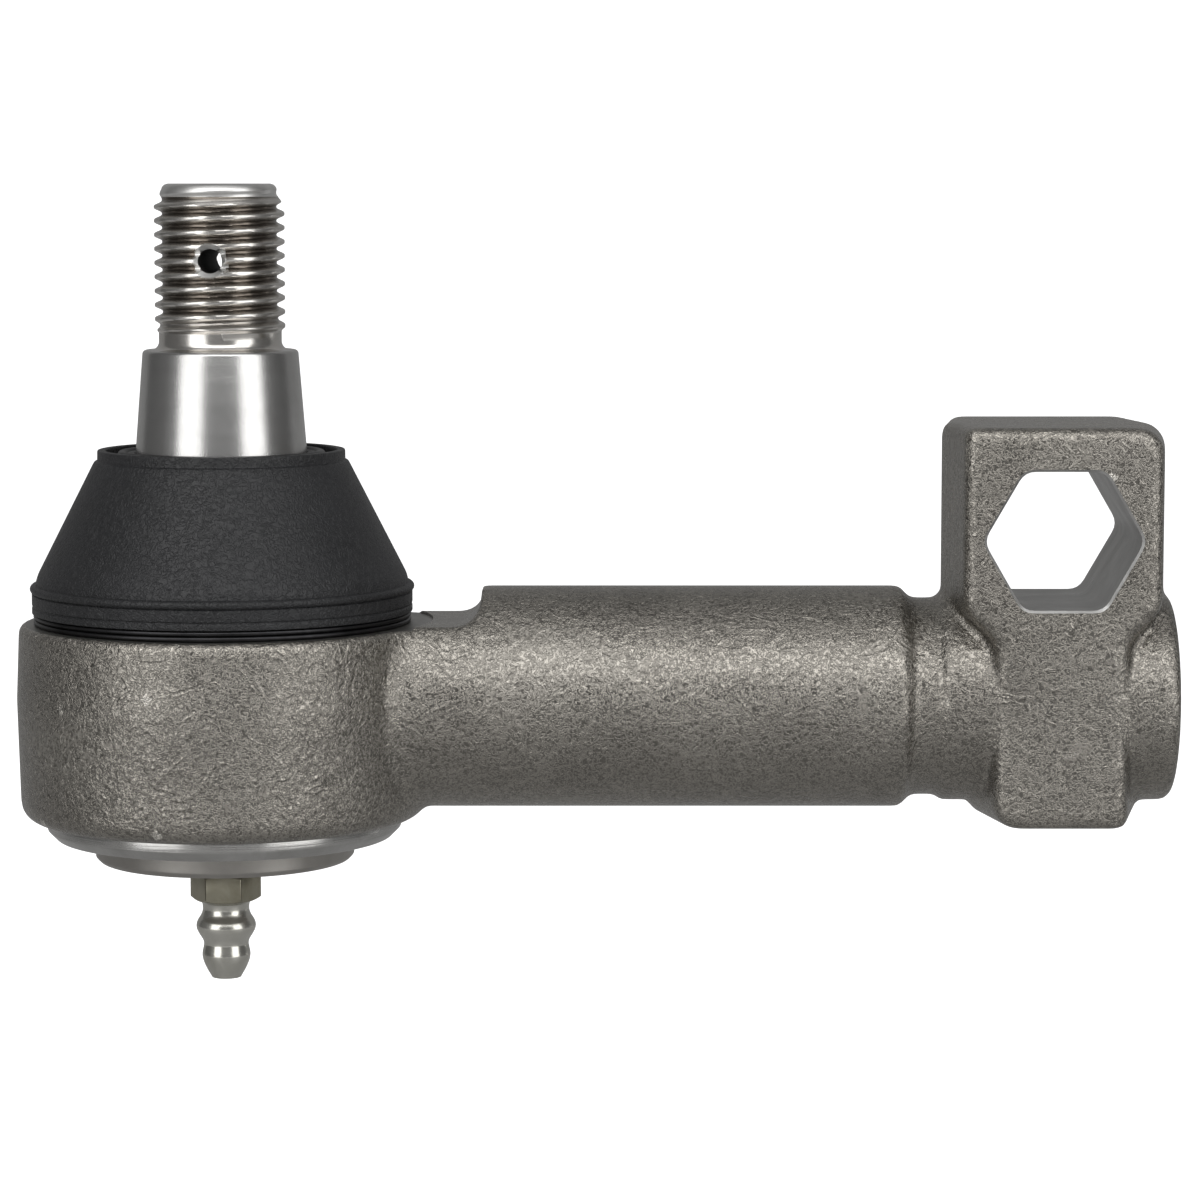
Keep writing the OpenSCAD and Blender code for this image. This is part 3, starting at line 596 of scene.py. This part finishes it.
# near-black colour in the cotter hole: painted shade where little light reaches
paintedHoleShade = makeRubber({
    "name": "paintedHoleShade", "dark": (0.010, 0.009, 0.008), "light": (0.022, 0.020, 0.018),
    "roughness": (0.6, 0.8), "shine": 0.2, "grainScale": 1500.0, "grainDepth": 0.01})
turnedSteel = makeTurnedSteel({
    "name": "turnedSteel", "axis": "ball",
    "dark": (0.36, 0.355, 0.34), "light": (0.54, 0.535, 0.52), "roughness": (0.17, 0.30),
    "patchScale": 120.0, "lineScale": 1700.0, "stray": 0.02, "lineDepth": 0.045})
hubSteel = makeTurnedSteel({
    "name": "hubSteel", "axis": "ball",
    "dark": (0.30, 0.285, 0.265), "light": (0.42, 0.405, 0.38), "roughness": (0.3, 0.45),
    "patchScale": 90.0, "lineScale": 1500.0, "stray": 0.006, "lineDepth": 0.012})
zincPlate = makeTurnedSteel({
    "name": "zincPlate", "axis": "ball",
    "dark": (0.50, 0.49, 0.44), "light": (0.64, 0.63, 0.58), "roughness": (0.16, 0.28),
    "patchScale": 320.0, "lineScale": 1700.0, "stray": 0.02, "lineDepth": 0.006})
oliveZinc = makeTurnedSteel({
    "name": "oliveZinc", "axis": "ball",
    "dark": (0.27, 0.25, 0.185), "light": (0.42, 0.40, 0.32), "roughness": (0.25, 0.40),
    "patchScale": 260.0, "lineScale": 1700.0, "stray": 0.05, "lineDepth": 0.008})
bearingSteel = makeTurnedSteel({
    "name": "bearingSteel", "axis": "ball",
    "dark": (0.36, 0.36, 0.36), "light": (0.50, 0.50, 0.50), "roughness": (0.15, 0.3),
    "patchScale": 150.0, "lineScale": 2800.0, "stray": 0.004, "lineDepth": 0.005})
springSteel = makeTurnedSteel({
    "name": "springSteel", "axis": "ball",
    "dark": (0.16, 0.16, 0.165), "light": (0.28, 0.28, 0.29), "roughness": (0.3, 0.45),
    "patchScale": 200.0, "lineScale": 1500.0, "stray": 0.05, "lineDepth": 0.01})
blackWire = makeTurnedSteel({
    "name": "blackWire", "axis": "ball",
    "dark": (0.022, 0.022, 0.023), "light": (0.05, 0.05, 0.052), "roughness": (0.32, 0.5),
    "patchScale": 300.0, "lineScale": 1200.0, "stray": 0.05, "lineDepth": 0.01})
bootRubber = makeRubber({
    "name": "bootRubber", "dark": (0.010, 0.0102, 0.011), "light": (0.015, 0.0152, 0.0165),
    "roughness": (0.40, 0.52), "shine": 0.38, "grainScale": 1500.0, "grainDepth": 0.05})
sealRubber = makeRubber({
    "name": "sealRubber", "dark": (0.015, 0.015, 0.015), "light": (0.02, 0.02, 0.02),
    "roughness": (0.4, 0.5), "shine": 0.5, "grainScale": 1500.0, "grainDepth": 0.01})
print("materials ready")


# forged arm

armValues = {
    "eyeRadius": 22.3, "eyeDraft": 0.3, "eyeTop": 8.1, "eyeBottom": -13.1,
    "lowEdge": 2.0, "highEdge": 0.9,
    "shankRadius": 12.0, "shankEdge": 1, "shankEndX": -27.8,
    "grooveRadius": 10.7, "grooveSlope": 0.6,
    "collarRadius": 11.3, "collarX": -24.0, "collarSlope": 0.25,
    "bossEdge": 1.2, "bossEdgeX": -0.2, "bossEndX": 0.998,
    "filletHeight": 2.2, "filletWidth": 3.4, "filletRoot": 1.5, "filletInEye": 0.4,
    "filletSunk": 0.25, "filletLow": -84, "filletFade": 34, "filletLeast": 0.05,
    "flatHeight": 8.4, "flatEndX": -73.6, "flatRoot": 2.6,
    "lugX": -11.8, "lugWidth": 24.2, "lugThick": 23.5, "lugTop": 29.8, "lugEdge": 1.2,
    "headLow": 10.4, "headDraft": 1.7, "headCorner": 2.8,
    "footWidth": 18.6, "footLow": -13.0, "footDraft": 2.4, "footCorner": 2.7,
    "spotRadius": 22.8, "neckRadius": 18.6, "neckTop": 11.0,
    "neckGrooveLow": 9.32, "neckGrooveTop": 10.54, "neckGrooveDepth": 0.5,
    "sealSeat": 16.89, "sealSeatTop": -11.9, "coverBore": 15.49, "coverBoreTop": -9.6,
    "shellBore": 13.49, "shellBoreTop": 5.99, "mouthLow": 9.28, "mouthHigh": 11.29,
    "hexFlats": 14.7, "hexHeight": 17.85, "hexCorner": 2.0, "hexChamfer": 0.25,
    "socketRadius": 6.19, "socketDepth": 44.0, "countersink": 2.0, "countersinkWider": 1.25,
    "drillHalfAngle": 59,
    "threadPitch": 1.5, "threadCrest": 6.95, "threadLength": 40.5, "threadFade": 3,
    "threadRows": 8,                # to each turn
    "voxel": 0.42, "smoothing": 6,
}


def makeFillet(v):
    # a ring with a hollow section, pushed along the shank until it follows the eye's side
    low, root = v["shankRadius"] - v["filletSunk"], v["filletRoot"]
    start = Vector((v["filletWidth"], 0))
    finish = Vector((-v["filletInEye"], v["filletHeight"]))
    curve = [start * (1 - t) ** 2 + finish * t * t for t in [i / 6 for i in range(7)]]
    section = [(-root, -root)] + [tuple(point) for point in curve]
    ring = turned("filletBlank", [(x, low + r) for x, r in section],
                  steps=144, alongX=True, closed=True)
    for vertex in ring.data.vertices:
        x, y, z = vertex.co / mm
        radius = math.hypot(y, z)
        angle = math.degrees(math.atan2(z, abs(y)))
        share = max(v["filletLeast"], min(1.0, (angle - v["filletLow"]) / v["filletFade"]))
        wanted = low + (radius - low) * share
        y, z = y * wanted / radius, z * wanted / radius
        side = math.sqrt(v["eyeRadius"] ** 2 - y * y)
        under = min(z, v["flatHeight"] - 0.2)       # stays below the flat
        vertex.co = Vector((ballX + side + x * share, y, under)) * mm
    return ring


def makeLug(v):
    near = 0.1
    w, f = v["lugWidth"] / 2, v["footWidth"] / 2
    slant = v["headLow"] - (w - f)
    foot, head = v["footCorner"], v["headCorner"]
    outline = [(-w, v["lugTop"]), (-w, v["headLow"]), (-f, slant)]
    outline += arc((-f + foot, v["footLow"] + foot), foot, 180, 270)
    outline += [(f, v["footLow"]), (f, slant), (w, v["headLow"])]
    outline += arc((w - head, v["lugTop"] - head), head, 0, 90)
    half = v["lugThick"] / 2
    lug = plate("lugBlank", [(v["lugX"] + x, z) for x, z in outline], -half, half)
    bpy.ops.object.mode_set(mode="EDIT")
    bpy.ops.mesh.select_all(action="SELECT")
    bpy.ops.mesh.bisect(plane_co=(0, 0, 0), plane_no=(0, 1, 0))
    bpy.ops.object.mode_set(mode="OBJECT")
    more = v["footDraft"] - v["headDraft"]
    for vertex in lug.data.vertices:
        x, y, z = vertex.co / mm
        if abs(y) > half - near:
            draft = v["headDraft"] if z > slant + near else v["footDraft"]
            x -= math.copysign(draft, x - v["lugX"])
            if abs(z - slant) < near:
                z -= more
            vertex.co = Vector((x, y, z)) * mm
    useModifier(lug, "BEVEL", width=v["lugEdge"] * mm, segments=4, limit_method="ANGLE",
                angle_limit=math.radians(40))
    return lug


def makeArmBlank(v):
    toBeFaced, neckBlank, neckBlankTop = 0.1, 0.3, 12.5     # metal that the tools take off
    side, neck = v["eyeRadius"] - v["eyeDraft"], v["neckRadius"] + neckBlank
    eye = turned("eyeBlank", [(0, v["eyeBottom"])]
                 + arc((side - v["lowEdge"], v["eyeBottom"] + v["lowEdge"]), v["lowEdge"], -90, 0)
                 + [(v["eyeRadius"], 0)]
                 + arc((side - v["highEdge"], v["eyeTop"] - v["highEdge"] + toBeFaced),
                       v["highEdge"], 0, 80)
                 + [(neck, v["eyeTop"] + neckBlank), (neck, neckBlankTop), (0, neckBlankTop)])
    edge, boss, groove = v["shankEdge"], v["bossEdge"], v["grooveRadius"]
    shank = turned("shankBlank", [(ballX, 0), (ballX, v["shankRadius"])]
                   + arc((v["shankEndX"] - edge, v["shankRadius"] - edge), edge, 90, 30)
                   + [(v["shankEndX"] + v["grooveSlope"], groove),
                      (v["collarX"] - v["collarSlope"], groove),
                      (v["collarX"], v["collarRadius"])]
                   + arc((v["bossEdgeX"], v["collarRadius"] - boss), boss, 90, 0)
                   + [(v["bossEndX"], 0)], alongX=True)
    above, beside = 14, 24          # past the shank
    flatRootX = v["flatEndX"] - v["flatRoot"]
    flat = [(ballX, v["flatHeight"]), (flatRootX, v["flatHeight"])]
    flat += arc((flatRootX, v["flatHeight"] + v["flatRoot"]), v["flatRoot"], -90, 0)[1:]
    flat += [(v["flatEndX"], above), (ballX, above)]
    cutWith(shank, plate("flatTool", flat, -beside, beside))
    blank = joinAll("armForging", [eye, shank, makeFillet(v), makeLug(v)])
    useModifier(blank, "REMESH", mode="VOXEL", voxel_size=v["voxel"] * mm)
    useModifier(blank, "SMOOTH", factor=0.5, iterations=v["smoothing"])
    return blank


def spotTool(v):
    # faces the eye's top, leaving the neck that holds the boot, with its groove
    neck, above = v["neckRadius"], 16
    groove = neck - v["neckGrooveDepth"]
    return turned("spotTool", [
        (0, v["neckTop"]), (neck, v["neckTop"]), (neck, v["neckGrooveTop"]),
        (groove, v["neckGrooveTop"]), (groove, v["neckGrooveLow"]), (neck, v["neckGrooveLow"]),
        (neck, v["eyeTop"]), (v["spotRadius"], v["eyeTop"]), (v["spotRadius"], above),
        (0, above)], steps=128)


def boreTool(v):
    # the stepped bore for seal, cover and shells, and the mouth that the stud tilts in
    below, above = -14, 11.5
    return turned("boreTool", [
        (0, below), (v["sealSeat"], below), (v["sealSeat"], v["sealSeatTop"]),
        (v["coverBore"], v["sealSeatTop"]), (v["coverBore"], v["coverBoreTop"]),
        (v["shellBore"], v["coverBoreTop"]), (v["shellBore"], v["shellBoreTop"]),
        (v["mouthLow"], v["shellBoreTop"]), (v["mouthHigh"], above), (0, above)], steps=128)


def hexTool(v):
    corner = v["hexFlats"] / math.sqrt(3)
    sharp = [(corner * math.cos(math.radians(60 * i)), corner * math.sin(math.radians(60 * i)))
             for i in range(6)]
    # a corner of 120 degrees starts 0.577 of its radius from the point
    outline = softened(sharp, v["hexCorner"] * 0.577, closed=True, steps=4)
    half, c = v["lugThick"] / 2, v["hexChamfer"]
    wide = 1 + 2 * c / (v["hexFlats"] / 2)
    middle = (v["lugX"] * mm, 0, v["hexHeight"] * mm)
    obj = drawLine("hexTool", [(v["lugX"] + x * wide, -half - c, v["hexHeight"] + z * wide)
                               for x, z in outline], closed=True)
    bpy.ops.mesh.edge_face_add()
    for step, scale in ((2 * c, 1 / wide), (2 * half - 2 * c, 1.0), (2 * c, wide)):
        bpy.ops.mesh.extrude_region_move(TRANSFORM_OT_translate={"value": (0, step * mm, 0)})
        bpy.ops.transform.resize(value=(scale, 1, scale), center_override=middle)
    faceOutwards()
    return obj


def socketTool(v):
    # drilled and countersunk, with a thread that fades out before the drill's point
    r, depth, pitch = v["socketRadius"], v["socketDepth"], v["threadPitch"]
    sink, perTurn = v["countersink"], v["threadRows"]
    rows = round(v["threadLength"] / (pitch / perTurn))
    profile = [(sink, 0), (sink, v["threadCrest"] + v["countersinkWider"]), (0.0, r)]
    profile += [(-(i + 1) * pitch / perTurn, r) for i in range(rows)]
    profile += [(-depth, r), (-depth - r / math.tan(math.radians(v["drillHalfAngle"])), 0)]
    tool = turned("socketTool", profile, steps=64, alongX=True)
    threadEnd = v["threadLength"] + 0.1
    for vertex in tool.data.vertices:
        x, y, z = vertex.co / mm
        if -threadEnd < x < -0.02 and abs(math.hypot(y, z) - r) < 0.05:
            fade = min(1.0, (x + threadEnd) / v["threadFade"])
            crest = r + (v["threadCrest"] - r) * fade
            radius = screwRadius(math.atan2(z, y), x, pitch, r, crest)
            vertex.co.y, vertex.co.z = vertex.co.y * radius / r, vertex.co.z * radius / r
    return tool


armFinishes = [forging, spotSteel, broachedSteel, tappedSteel, facedEndWithHighlight]


def armSurface(v, centre, normal):
    # place of a face's finish in armFinishes
    forged, faced, broached, tapped, rim = range(len(armFinishes))
    neckAll, boreAll = 19.2, 17.0   # a little wider than the neck and the bore
    x, y, z = centre / mm
    fromBall = math.hypot(x - ballX, y)
    onSpot = fromBall < v["spotRadius"] + 0.01 and abs(z - v["eyeTop"]) < 0.03
    if onSpot and normal.z > 0.99:
        return faced
    if fromBall < neckAll and z > v["eyeTop"] - 0.02 or fromBall < boreAll:
        return faced
    along, up = abs(x - v["lugX"]), abs(z - v["hexHeight"])
    reach = max(up, along * math.sqrt(3) / 2 + up / 2)
    if reach < v["hexFlats"] / 2 + v["hexChamfer"] + 0.05 and abs(normal.y) < 0.9:
        return rim if abs(y) > v["lugThick"] / 2 - v["hexChamfer"] else broached
    if math.hypot(y, z) < v["threadCrest"] + 0.3 and x > -v["socketDepth"] - 6:
        return tapped
    return forged


def makeArm(v):
    arm = makeArmBlank(v)
    print("arm blank:", len(arm.data.polygons), "faces")
    for tool in (spotTool(v), boreTool(v), hexTool(v), socketTool(v)):
        cutWith(arm, tool)
    dress(arm, armFinishes, "arm", "housing", smooth=32)
    for face in arm.data.polygons:
        face.material_index = armSurface(v, face.center, face.normal)
    return arm


arm = makeArm(armValues)
print("arm done:", len(arm.data.polygons), "faces")


# ball stud

studValues = {
    "ballRadius": 11.0, "ballFlat": -10.2, "neckRadius": 6.3, "neckTop": 16.0,
    "taperLow": (9.75, 20.0), "taperHigh": (8.4, 37.6), "taperEdge": 0.45,
    "undercut": 6.6, "undercutFillet": 0.9,
    "top": 55.399, "chamfer": 1.5, "topRadius": 5.5, "topInset": 0.3, "shoulderRadius": 6.4,
    "leadIn": 1.2, "centreRadius": 1.5, "centreDepth": 1.3,
    "crest": 7.0, "root": 6.14, "pitch": 1.5, "threadLow": 39.7, "threadStart": 0.25,
    "threadRows": 14,               # to each turn
    "crestFade": 0.5, "rootFade": 1.6, "threadTurn": 0.4,
    "holeHeight": 47.2, "holeRadius": 1.3, "holeSink": 0.6, "holeTurn": 86.0,
}


def studProfile(v):
    startAngle = math.degrees(math.asin(v["ballFlat"] / v["ballRadius"]))
    neckAngle = math.degrees(math.acos(v["neckRadius"] / v["ballRadius"]))
    profile = [(0, v["ballFlat"] + v["centreDepth"]), (v["centreRadius"], v["ballFlat"])]
    profile += arc((0, 0), v["ballRadius"], startAngle, neckAngle, steps=30)
    profile += [(v["neckRadius"], v["neckTop"]), v["taperLow"]]
    (shoulder, height), edge, fillet = v["taperHigh"], v["taperEdge"], v["undercutFillet"]
    profile += arc((shoulder - edge, height - edge), edge, 8, 90, steps=5)
    profile += arc((v["undercut"] + fillet, height + fillet), fillet, 270, 180, steps=6)
    early = v["threadStart"]
    rows = round((v["top"] - v["threadLow"]) / (v["pitch"] / v["threadRows"]))
    profile += [(v["undercut"],
                 v["threadLow"] - early + (v["top"] - v["threadLow"] + early) * i / rows)
                for i in range(rows + 1)]
    return profile + [(v["topRadius"] - v["topInset"], v["top"]), (v["centreRadius"], v["top"]),
                      (0, v["top"] - v["centreDepth"])]


def rollThread(stud, v):
    # the crest and root fade in at the undercut, and run out under the rounded end
    for vertex in stud.data.vertices:
        x, y, z = vertex.co / mm
        radius = math.hypot(x - ballX, y)
        if z > v["threadLow"] - 0.3 and abs(radius - v["undercut"]) < 0.02:
            start = clamped((z - v["threadLow"] + v["threadStart"]) / v["crestFade"])
            deep = clamped((z - v["threadLow"]) / v["rootFade"])
            crest = v["undercut"] + (v["crest"] - v["undercut"]) * start
            above = (z - v["top"]) / v["chamfer"] + 1
            dome = math.sqrt(max(0.0, 1 - above * above)) if above > 0 else 1 - above * v["leadIn"]
            crest = min(crest, v["topRadius"] + (v["shoulderRadius"] - v["topRadius"]) * dome)
            root = min(v["undercut"] + (v["root"] - v["undercut"]) * deep, crest)
            wanted = rolledRadius(math.atan2(y, x - ballX), z - v["threadTurn"], v["pitch"],
                                  root, crest)
            vertex.co.x = (ballX + (x - ballX) * wanted / radius) * mm
            vertex.co.y = y * wanted / radius * mm


def makeStud(v):
    stud = turned("threadedStud", studProfile(v), steps=128)
    rollThread(stud, v)
    r, out, turn = v["holeRadius"], 9, math.radians(v["holeTurn"])
    edge = v["crest"] - v["holeSink"]
    tool = turned("cotterTool", [(-out, 0), (-out, r + out - edge), (-edge, r), (edge, r),
                                 (out, r + out - edge), (out, 0)], steps=40, alongX=True)
    tool.rotation_euler = (0, 0, turn)
    tool.location = Vector((ballX, 0, v["holeHeight"])) * mm
    cutWith(stud, tool)
    dress(stud, [groundSteel, rolledSteel, facedEndWithHighlight, paintedHoleShade], "stud",
          "ball_stud", smooth=35)
    thread, facedWithHighlight, hole = 1, 2, 3
    for face in stud.data.polygons:
        x, y, z = face.center / mm
        across = math.hypot((x - ballX) * math.sin(turn) - y * math.cos(turn), z - v["holeHeight"])
        if across < r + 0.03:
            face.material_index = hole
        # the top's chamfer and the hole's countersink get the bright machined colour with its
        # painted highlight
        elif z > v["top"] - v["chamfer"] + 0.1 or across < r + v["holeSink"]:
            face.material_index = facedWithHighlight
        elif z > v["taperHigh"][1] + 0.05:
            face.material_index = thread
    return stud


stud = makeStud(studValues)
print("stud done:", len(stud.data.polygons), "faces")


# end cover and grease nipple

coverValues = {
    "flangeRadius": 19.2, "flangeTop": -13.1, "flangeLow": -15.2, "chamfer": 1.0,
    "hubRadius": 14.05, "hubLow": -17.8, "hubChamfer": 0.5, "softEdge": 0.14,
    "ringRadius": 15.45, "ringTop": -9.64, "hollowRadius": 13.49, "hollowFloor": -14.05,
    "nippleBore": 3.0,
}


def makeCover(v):
    low, hub, hubEdge, ring = v["flangeLow"], v["hubRadius"], v["hubChamfer"], v["ringRadius"]
    profile = [
        (v["nippleBore"], v["hubLow"]), (hub - hubEdge, v["hubLow"]),
        (hub, v["hubLow"] + hubEdge), (hub, low),
        (v["flangeRadius"] - v["chamfer"], low), (v["flangeRadius"], low + v["chamfer"]),
        (v["flangeRadius"], v["flangeTop"]), (ring, v["flangeTop"]), (ring, v["ringTop"]),
        (v["hollowRadius"], v["ringTop"]), (v["hollowRadius"], v["hollowFloor"]),
        (v["nippleBore"], v["hollowFloor"])]
    cover = turned("screwedCover", softened(profile, v["softEdge"], closed=True),
                   steps=160, closed=True)
    dress(cover, [turnedSteel, hubSteel], "arm", "end_cover", smooth=35)
    for face in cover.data.polygons:
        if face.center.z < (low + 0.05) * mm:
            face.material_index = 1         # hub and underside


makeCover(coverValues)

nippleValues = {
    "threadRadius": 2.96, "threadRoot": 2.5, "threadTop": -14.1, "threadRows": 48, "pitch": 1.0,
    "hexTop": -19.4, "hexLow": -22.4, "hexFlats": 6.7, "hexFace": 0.1, "hexEdge": 0.08,
    "head": [(3.1, -22.4), (2.66, -22.7), (2.55, -23.1), (2.56, -23.6), (2.74, -24.1),
             (3.08, -24.65), (3.24, -25.15), (3.19, -25.65), (2.92, -26.2), (2.58, -26.75),
             (2.45, -27.2), (2.5, -27.65), (2.61, -28.2), (2.62, -28.65), (2.48, -29.25),
             (2.16, -30.0), (1.74, -30.75)],
    "tipRadius": 1.6, "tip": -30.999, "hole": 0.75, "holeEdge": 0.1,
    "ballBore": 1.04, "boreTop": -25.13, "boreLow": -30.35,
    "coreRadius": 2.9, "coreDepth": 0.5,    # where head and thread meet, inside the hexagon
}


def makeHexagon(v):
    across = v["hexFlats"] / math.cos(math.radians(30)) / 2
    flat = v["hexFlats"] / 2
    bevel = (across - flat) * math.tan(math.radians(30))
    selectNothing()
    bpy.ops.mesh.primitive_cylinder_add(
        vertices=6, radius=across * mm, depth=(v["hexTop"] - v["hexLow"]) * mm,
        location=Vector((ballX, 0, (v["hexTop"] + v["hexLow"]) / 2)) * mm,
        rotation=(0, 0, math.radians(30)))
    hexagon = bpy.context.object
    bpy.ops.object.transform_apply(location=True, rotation=True, scale=True)
    face = flat - v["hexFace"]
    envelope = turned("hexEnvelope", [
        (0, v["hexLow"]), (face, v["hexLow"]), (across, v["hexLow"] + bevel),
        (across, v["hexTop"] - bevel), (face, v["hexTop"]), (0, v["hexTop"])], steps=96)
    cutWith(hexagon, envelope, "INTERSECT")
    useModifier(hexagon, "BEVEL", width=v["hexEdge"] * mm, segments=2, limit_method="ANGLE",
                angle_limit=math.radians(50))
    return hexagon


def makeNipple(v):
    hexagon = makeHexagon(v)
    hole, tip, rows = v["hole"], v["tip"], v["threadRows"]
    profile = [(hole, tip + v["holeEdge"]), (hole + v["holeEdge"], tip), (v["tipRadius"], tip)]
    profile += list(reversed(flowing(v["head"])))
    profile += [(v["coreRadius"], v["hexTop"] - v["coreDepth"])]
    profile += [(v["threadRadius"], v["hexTop"] + (v["threadTop"] - v["hexTop"]) * i / rows)
                for i in range(rows + 1)]
    profile += [(hole, v["threadTop"]), (hole, v["boreTop"]), (v["ballBore"], v["boreTop"]),
                (v["ballBore"], v["boreLow"]), (hole, v["boreLow"])]
    body = turned("nippleBody", profile, steps=72, closed=True)
    for vertex in body.data.vertices:
        x, y, z = vertex.co / mm
        outside = abs(math.hypot(x - ballX, y) - v["threadRadius"]) < 0.01
        if z > v["hexTop"] - 0.01 and outside:
            wanted = screwRadius(math.atan2(y, x - ballX), z, v["pitch"], v["threadRoot"],
                                 v["threadRadius"])
            vertex.co.x = (ballX + (x - ballX) * wanted / v["threadRadius"]) * mm
            vertex.co.y = y * wanted / v["threadRadius"] * mm
    nipple = joinAll("greaseNipple", [body, hexagon])
    dress(nipple, [zincPlate, oliveZinc], "arm", "grease_nipple", smooth=35)
    for face in nipple.data.polygons:
        if face.center.z > (v["hexLow"] - 0.05) * mm:
            face.material_index = 1         # hexagon and thread


makeNipple(nippleValues)
print("cover and nipple done")


# dust boot and its rings

bootValues = {
    "footRadius": 19.8, "footInner": 18.7, "footLow": 8.1,
    "bandRadius": 20.55, "bandLow": 9.32, "grooveHeight": 10.1, "grooveHalf": 0.14,
    "grooveDepth": 0.16, "beadRadius": 18.3, "beadLow": 9.45, "beadTop": 10.4,
    "lipRadius": 20.75, "lipHeight": 11.95, "lipThick": 0.9, "coneStart": 20.15, "bend": 4.0,
    "coneEnd": 25.3, "collarLow": 25.7, "collarTop": 26.85, "collarRadius": 13.35,
    "ledge": 0.3, "rim": 0.9,
    "sealRadius": 9.3, "sealTop": 26.55, "sealLow": 23.6, "sealDraft": 0.23,
    "recess": 25.75, "recessInner": 10.17, "wall": 2.1,
    "split": 18.0,                  # where the sleeve and the hood meet
    "sleeveRows": (15, 16, 17),
    "hoodRows": (19, 20, 21, 22, 23, 24, 25), "hoodInside": (22, 21, 20, 19),
}


def makeBoot(v):
    # the boot is made in two pieces, a sleeve and a hood, which meet at the split
    bendX = v["coneStart"] - v["bend"]
    run = v["collarRadius"] + v["ledge"] - bendX
    rise = v["collarLow"] - v["lipHeight"]
    lean = math.degrees(math.atan2(rise, run) - math.acos(v["bend"] / math.hypot(run, rise)))
    tilt = math.radians(lean)

    def cone(z, inset=0):
        # radius of the cone's outside at a height, or of a wall inside it
        return bendX + (v["bend"] - inset - (z - v["lipHeight"]) * math.sin(tilt)) / math.cos(tilt)

    split, wall, inner = v["split"], v["wall"], v["bend"] - v["wall"]
    lip, half = v["lipHeight"], v["lipThick"] / 2
    band, groove = v["bandRadius"], v["grooveHeight"]
    outer = softened([
        (v["footInner"], v["footLow"]), (v["footRadius"], v["footLow"]),
        (v["footRadius"], v["bandLow"]), (band, v["bandLow"]), (band, groove - v["grooveHalf"]),
        (band - v["grooveDepth"], groove), (band, groove + v["grooveHalf"]),
        (band, lip - half - 0.1)], 0.1)
    outer += [(band - 0.12, lip - half)]
    outer += arc((v["lipRadius"] - half, lip), half, -75, 78, steps=8)
    outer += [(v["coneStart"] - 0.02, lip + half + 0.03)]
    outer += arc((bendX, lip), v["bend"], 9, lean, steps=6)
    lower = outer + [(cone(z), z) for z in (*v["sleeveRows"], split)]
    lower += [(cone(z, wall), z) for z in (split, *reversed(v["sleeveRows"]))]
    lower += [(bendX + inner * math.cos(tilt), lip + inner * math.sin(tilt))]
    lower += softened([
        (v["footInner"], lip), (v["footInner"], v["beadTop"]), (v["beadRadius"], v["beadTop"]),
        (v["beadRadius"], v["beadLow"]), (v["footInner"], v["beadLow"])], 0.15)
    sleeve = turned("bootSleeve", lower, steps=144, closed=True)
    dress(sleeve, [bootRubber], None, "dust_boot", smooth=40)
    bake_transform(sleeve)

    r, top = v["collarRadius"], v["collarTop"]
    upper = [(cone(z), z) for z in (split, *v["hoodRows"])]
    upper += softened([
        (cone(v["coneEnd"]), v["coneEnd"]), (r + v["ledge"], v["collarLow"] - 0.06),
        (r + 0.02, v["collarLow"]), (r, top), (r - v["rim"], top), (r - v["rim"], v["recess"]),
        (v["recessInner"], v["recess"]), (v["recessInner"], v["sealTop"]),
        (v["sealRadius"], v["sealTop"]), (v["sealRadius"] + v["sealDraft"], v["sealLow"])], 0.18)
    upper += [(cone(z, wall), z) for z in (v["sealLow"], *v["hoodInside"], split)]
    hood = turned("bootHood", upper, steps=144, closed=True)
    dress(hood, [bootRubber], None, "dust_boot", smooth=40)
    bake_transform(hood)


makeBoot(bootValues)

wireValues = {
    "radius": 20.125, "wire": 0.55, "sides": 12, "low": 8.425, "pitch": 0.57,
    "turn": 140, "sweep": 684, "climbFrom": 330, "climbTurn": 24,     # degrees
    "stepsPerTurn": 180,
}


def makeWireRing(v):
    # a round section swept nearly twice round, lifted from the first to the second turn on the way
    selectNothing()
    start, r = math.radians(v["turn"]), v["radius"]
    bpy.ops.mesh.primitive_circle_add(
        vertices=v["sides"], radius=v["wire"] / 2 * mm, fill_type="NGON",
        rotation=(math.radians(90), 0, start),
        location=Vector((ballX + r * math.cos(start), r * math.sin(start), v["low"])) * mm)
    ring = bpy.context.object
    ring.name = "bootWire"
    bpy.ops.object.transform_apply(location=True, rotation=True, scale=True)
    steps = round(v["sweep"] / 360 * v["stepsPerTurn"])
    bpy.ops.object.mode_set(mode="EDIT")
    bpy.ops.mesh.select_all(action="SELECT")
    bpy.ops.mesh.spin(steps=steps, angle=math.radians(v["sweep"]), center=(ballX * mm, 0, 0),
                      axis=(0, 0, 1), use_auto_merge=False)
    bpy.ops.object.mode_set(mode="OBJECT")
    count = len(ring.data.vertices) // (steps + 1)
    for vertex in ring.data.vertices:
        swept = (vertex.index // count) / steps * v["sweep"]
        climb = clamped((swept - v["climbFrom"]) / v["climbTurn"])
        vertex.co.z += v["pitch"] * climb * climb * (3 - 2 * climb) * mm
    bpy.ops.object.mode_set(mode="EDIT")
    faceOutwards()
    dress(ring, [blackWire], "arm", "boot_wire_ring", smooth=50)


makeWireRing(wireValues)
print("boot and rings done")


# pieces that keep their own shape

keptShape = {
    "upper_race": bearingSteel, "lower_race": bearingSteel, "disc_spring": springSteel,
    "cover_seal": sealRubber, "check_ball": bearingSteel, "check_spring": springSteel,
    "boot_garter_ring": blackWire,
}
for name, material in keptShape.items():
    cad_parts[name].data.materials.clear()
    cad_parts[name].data.materials.append(material)
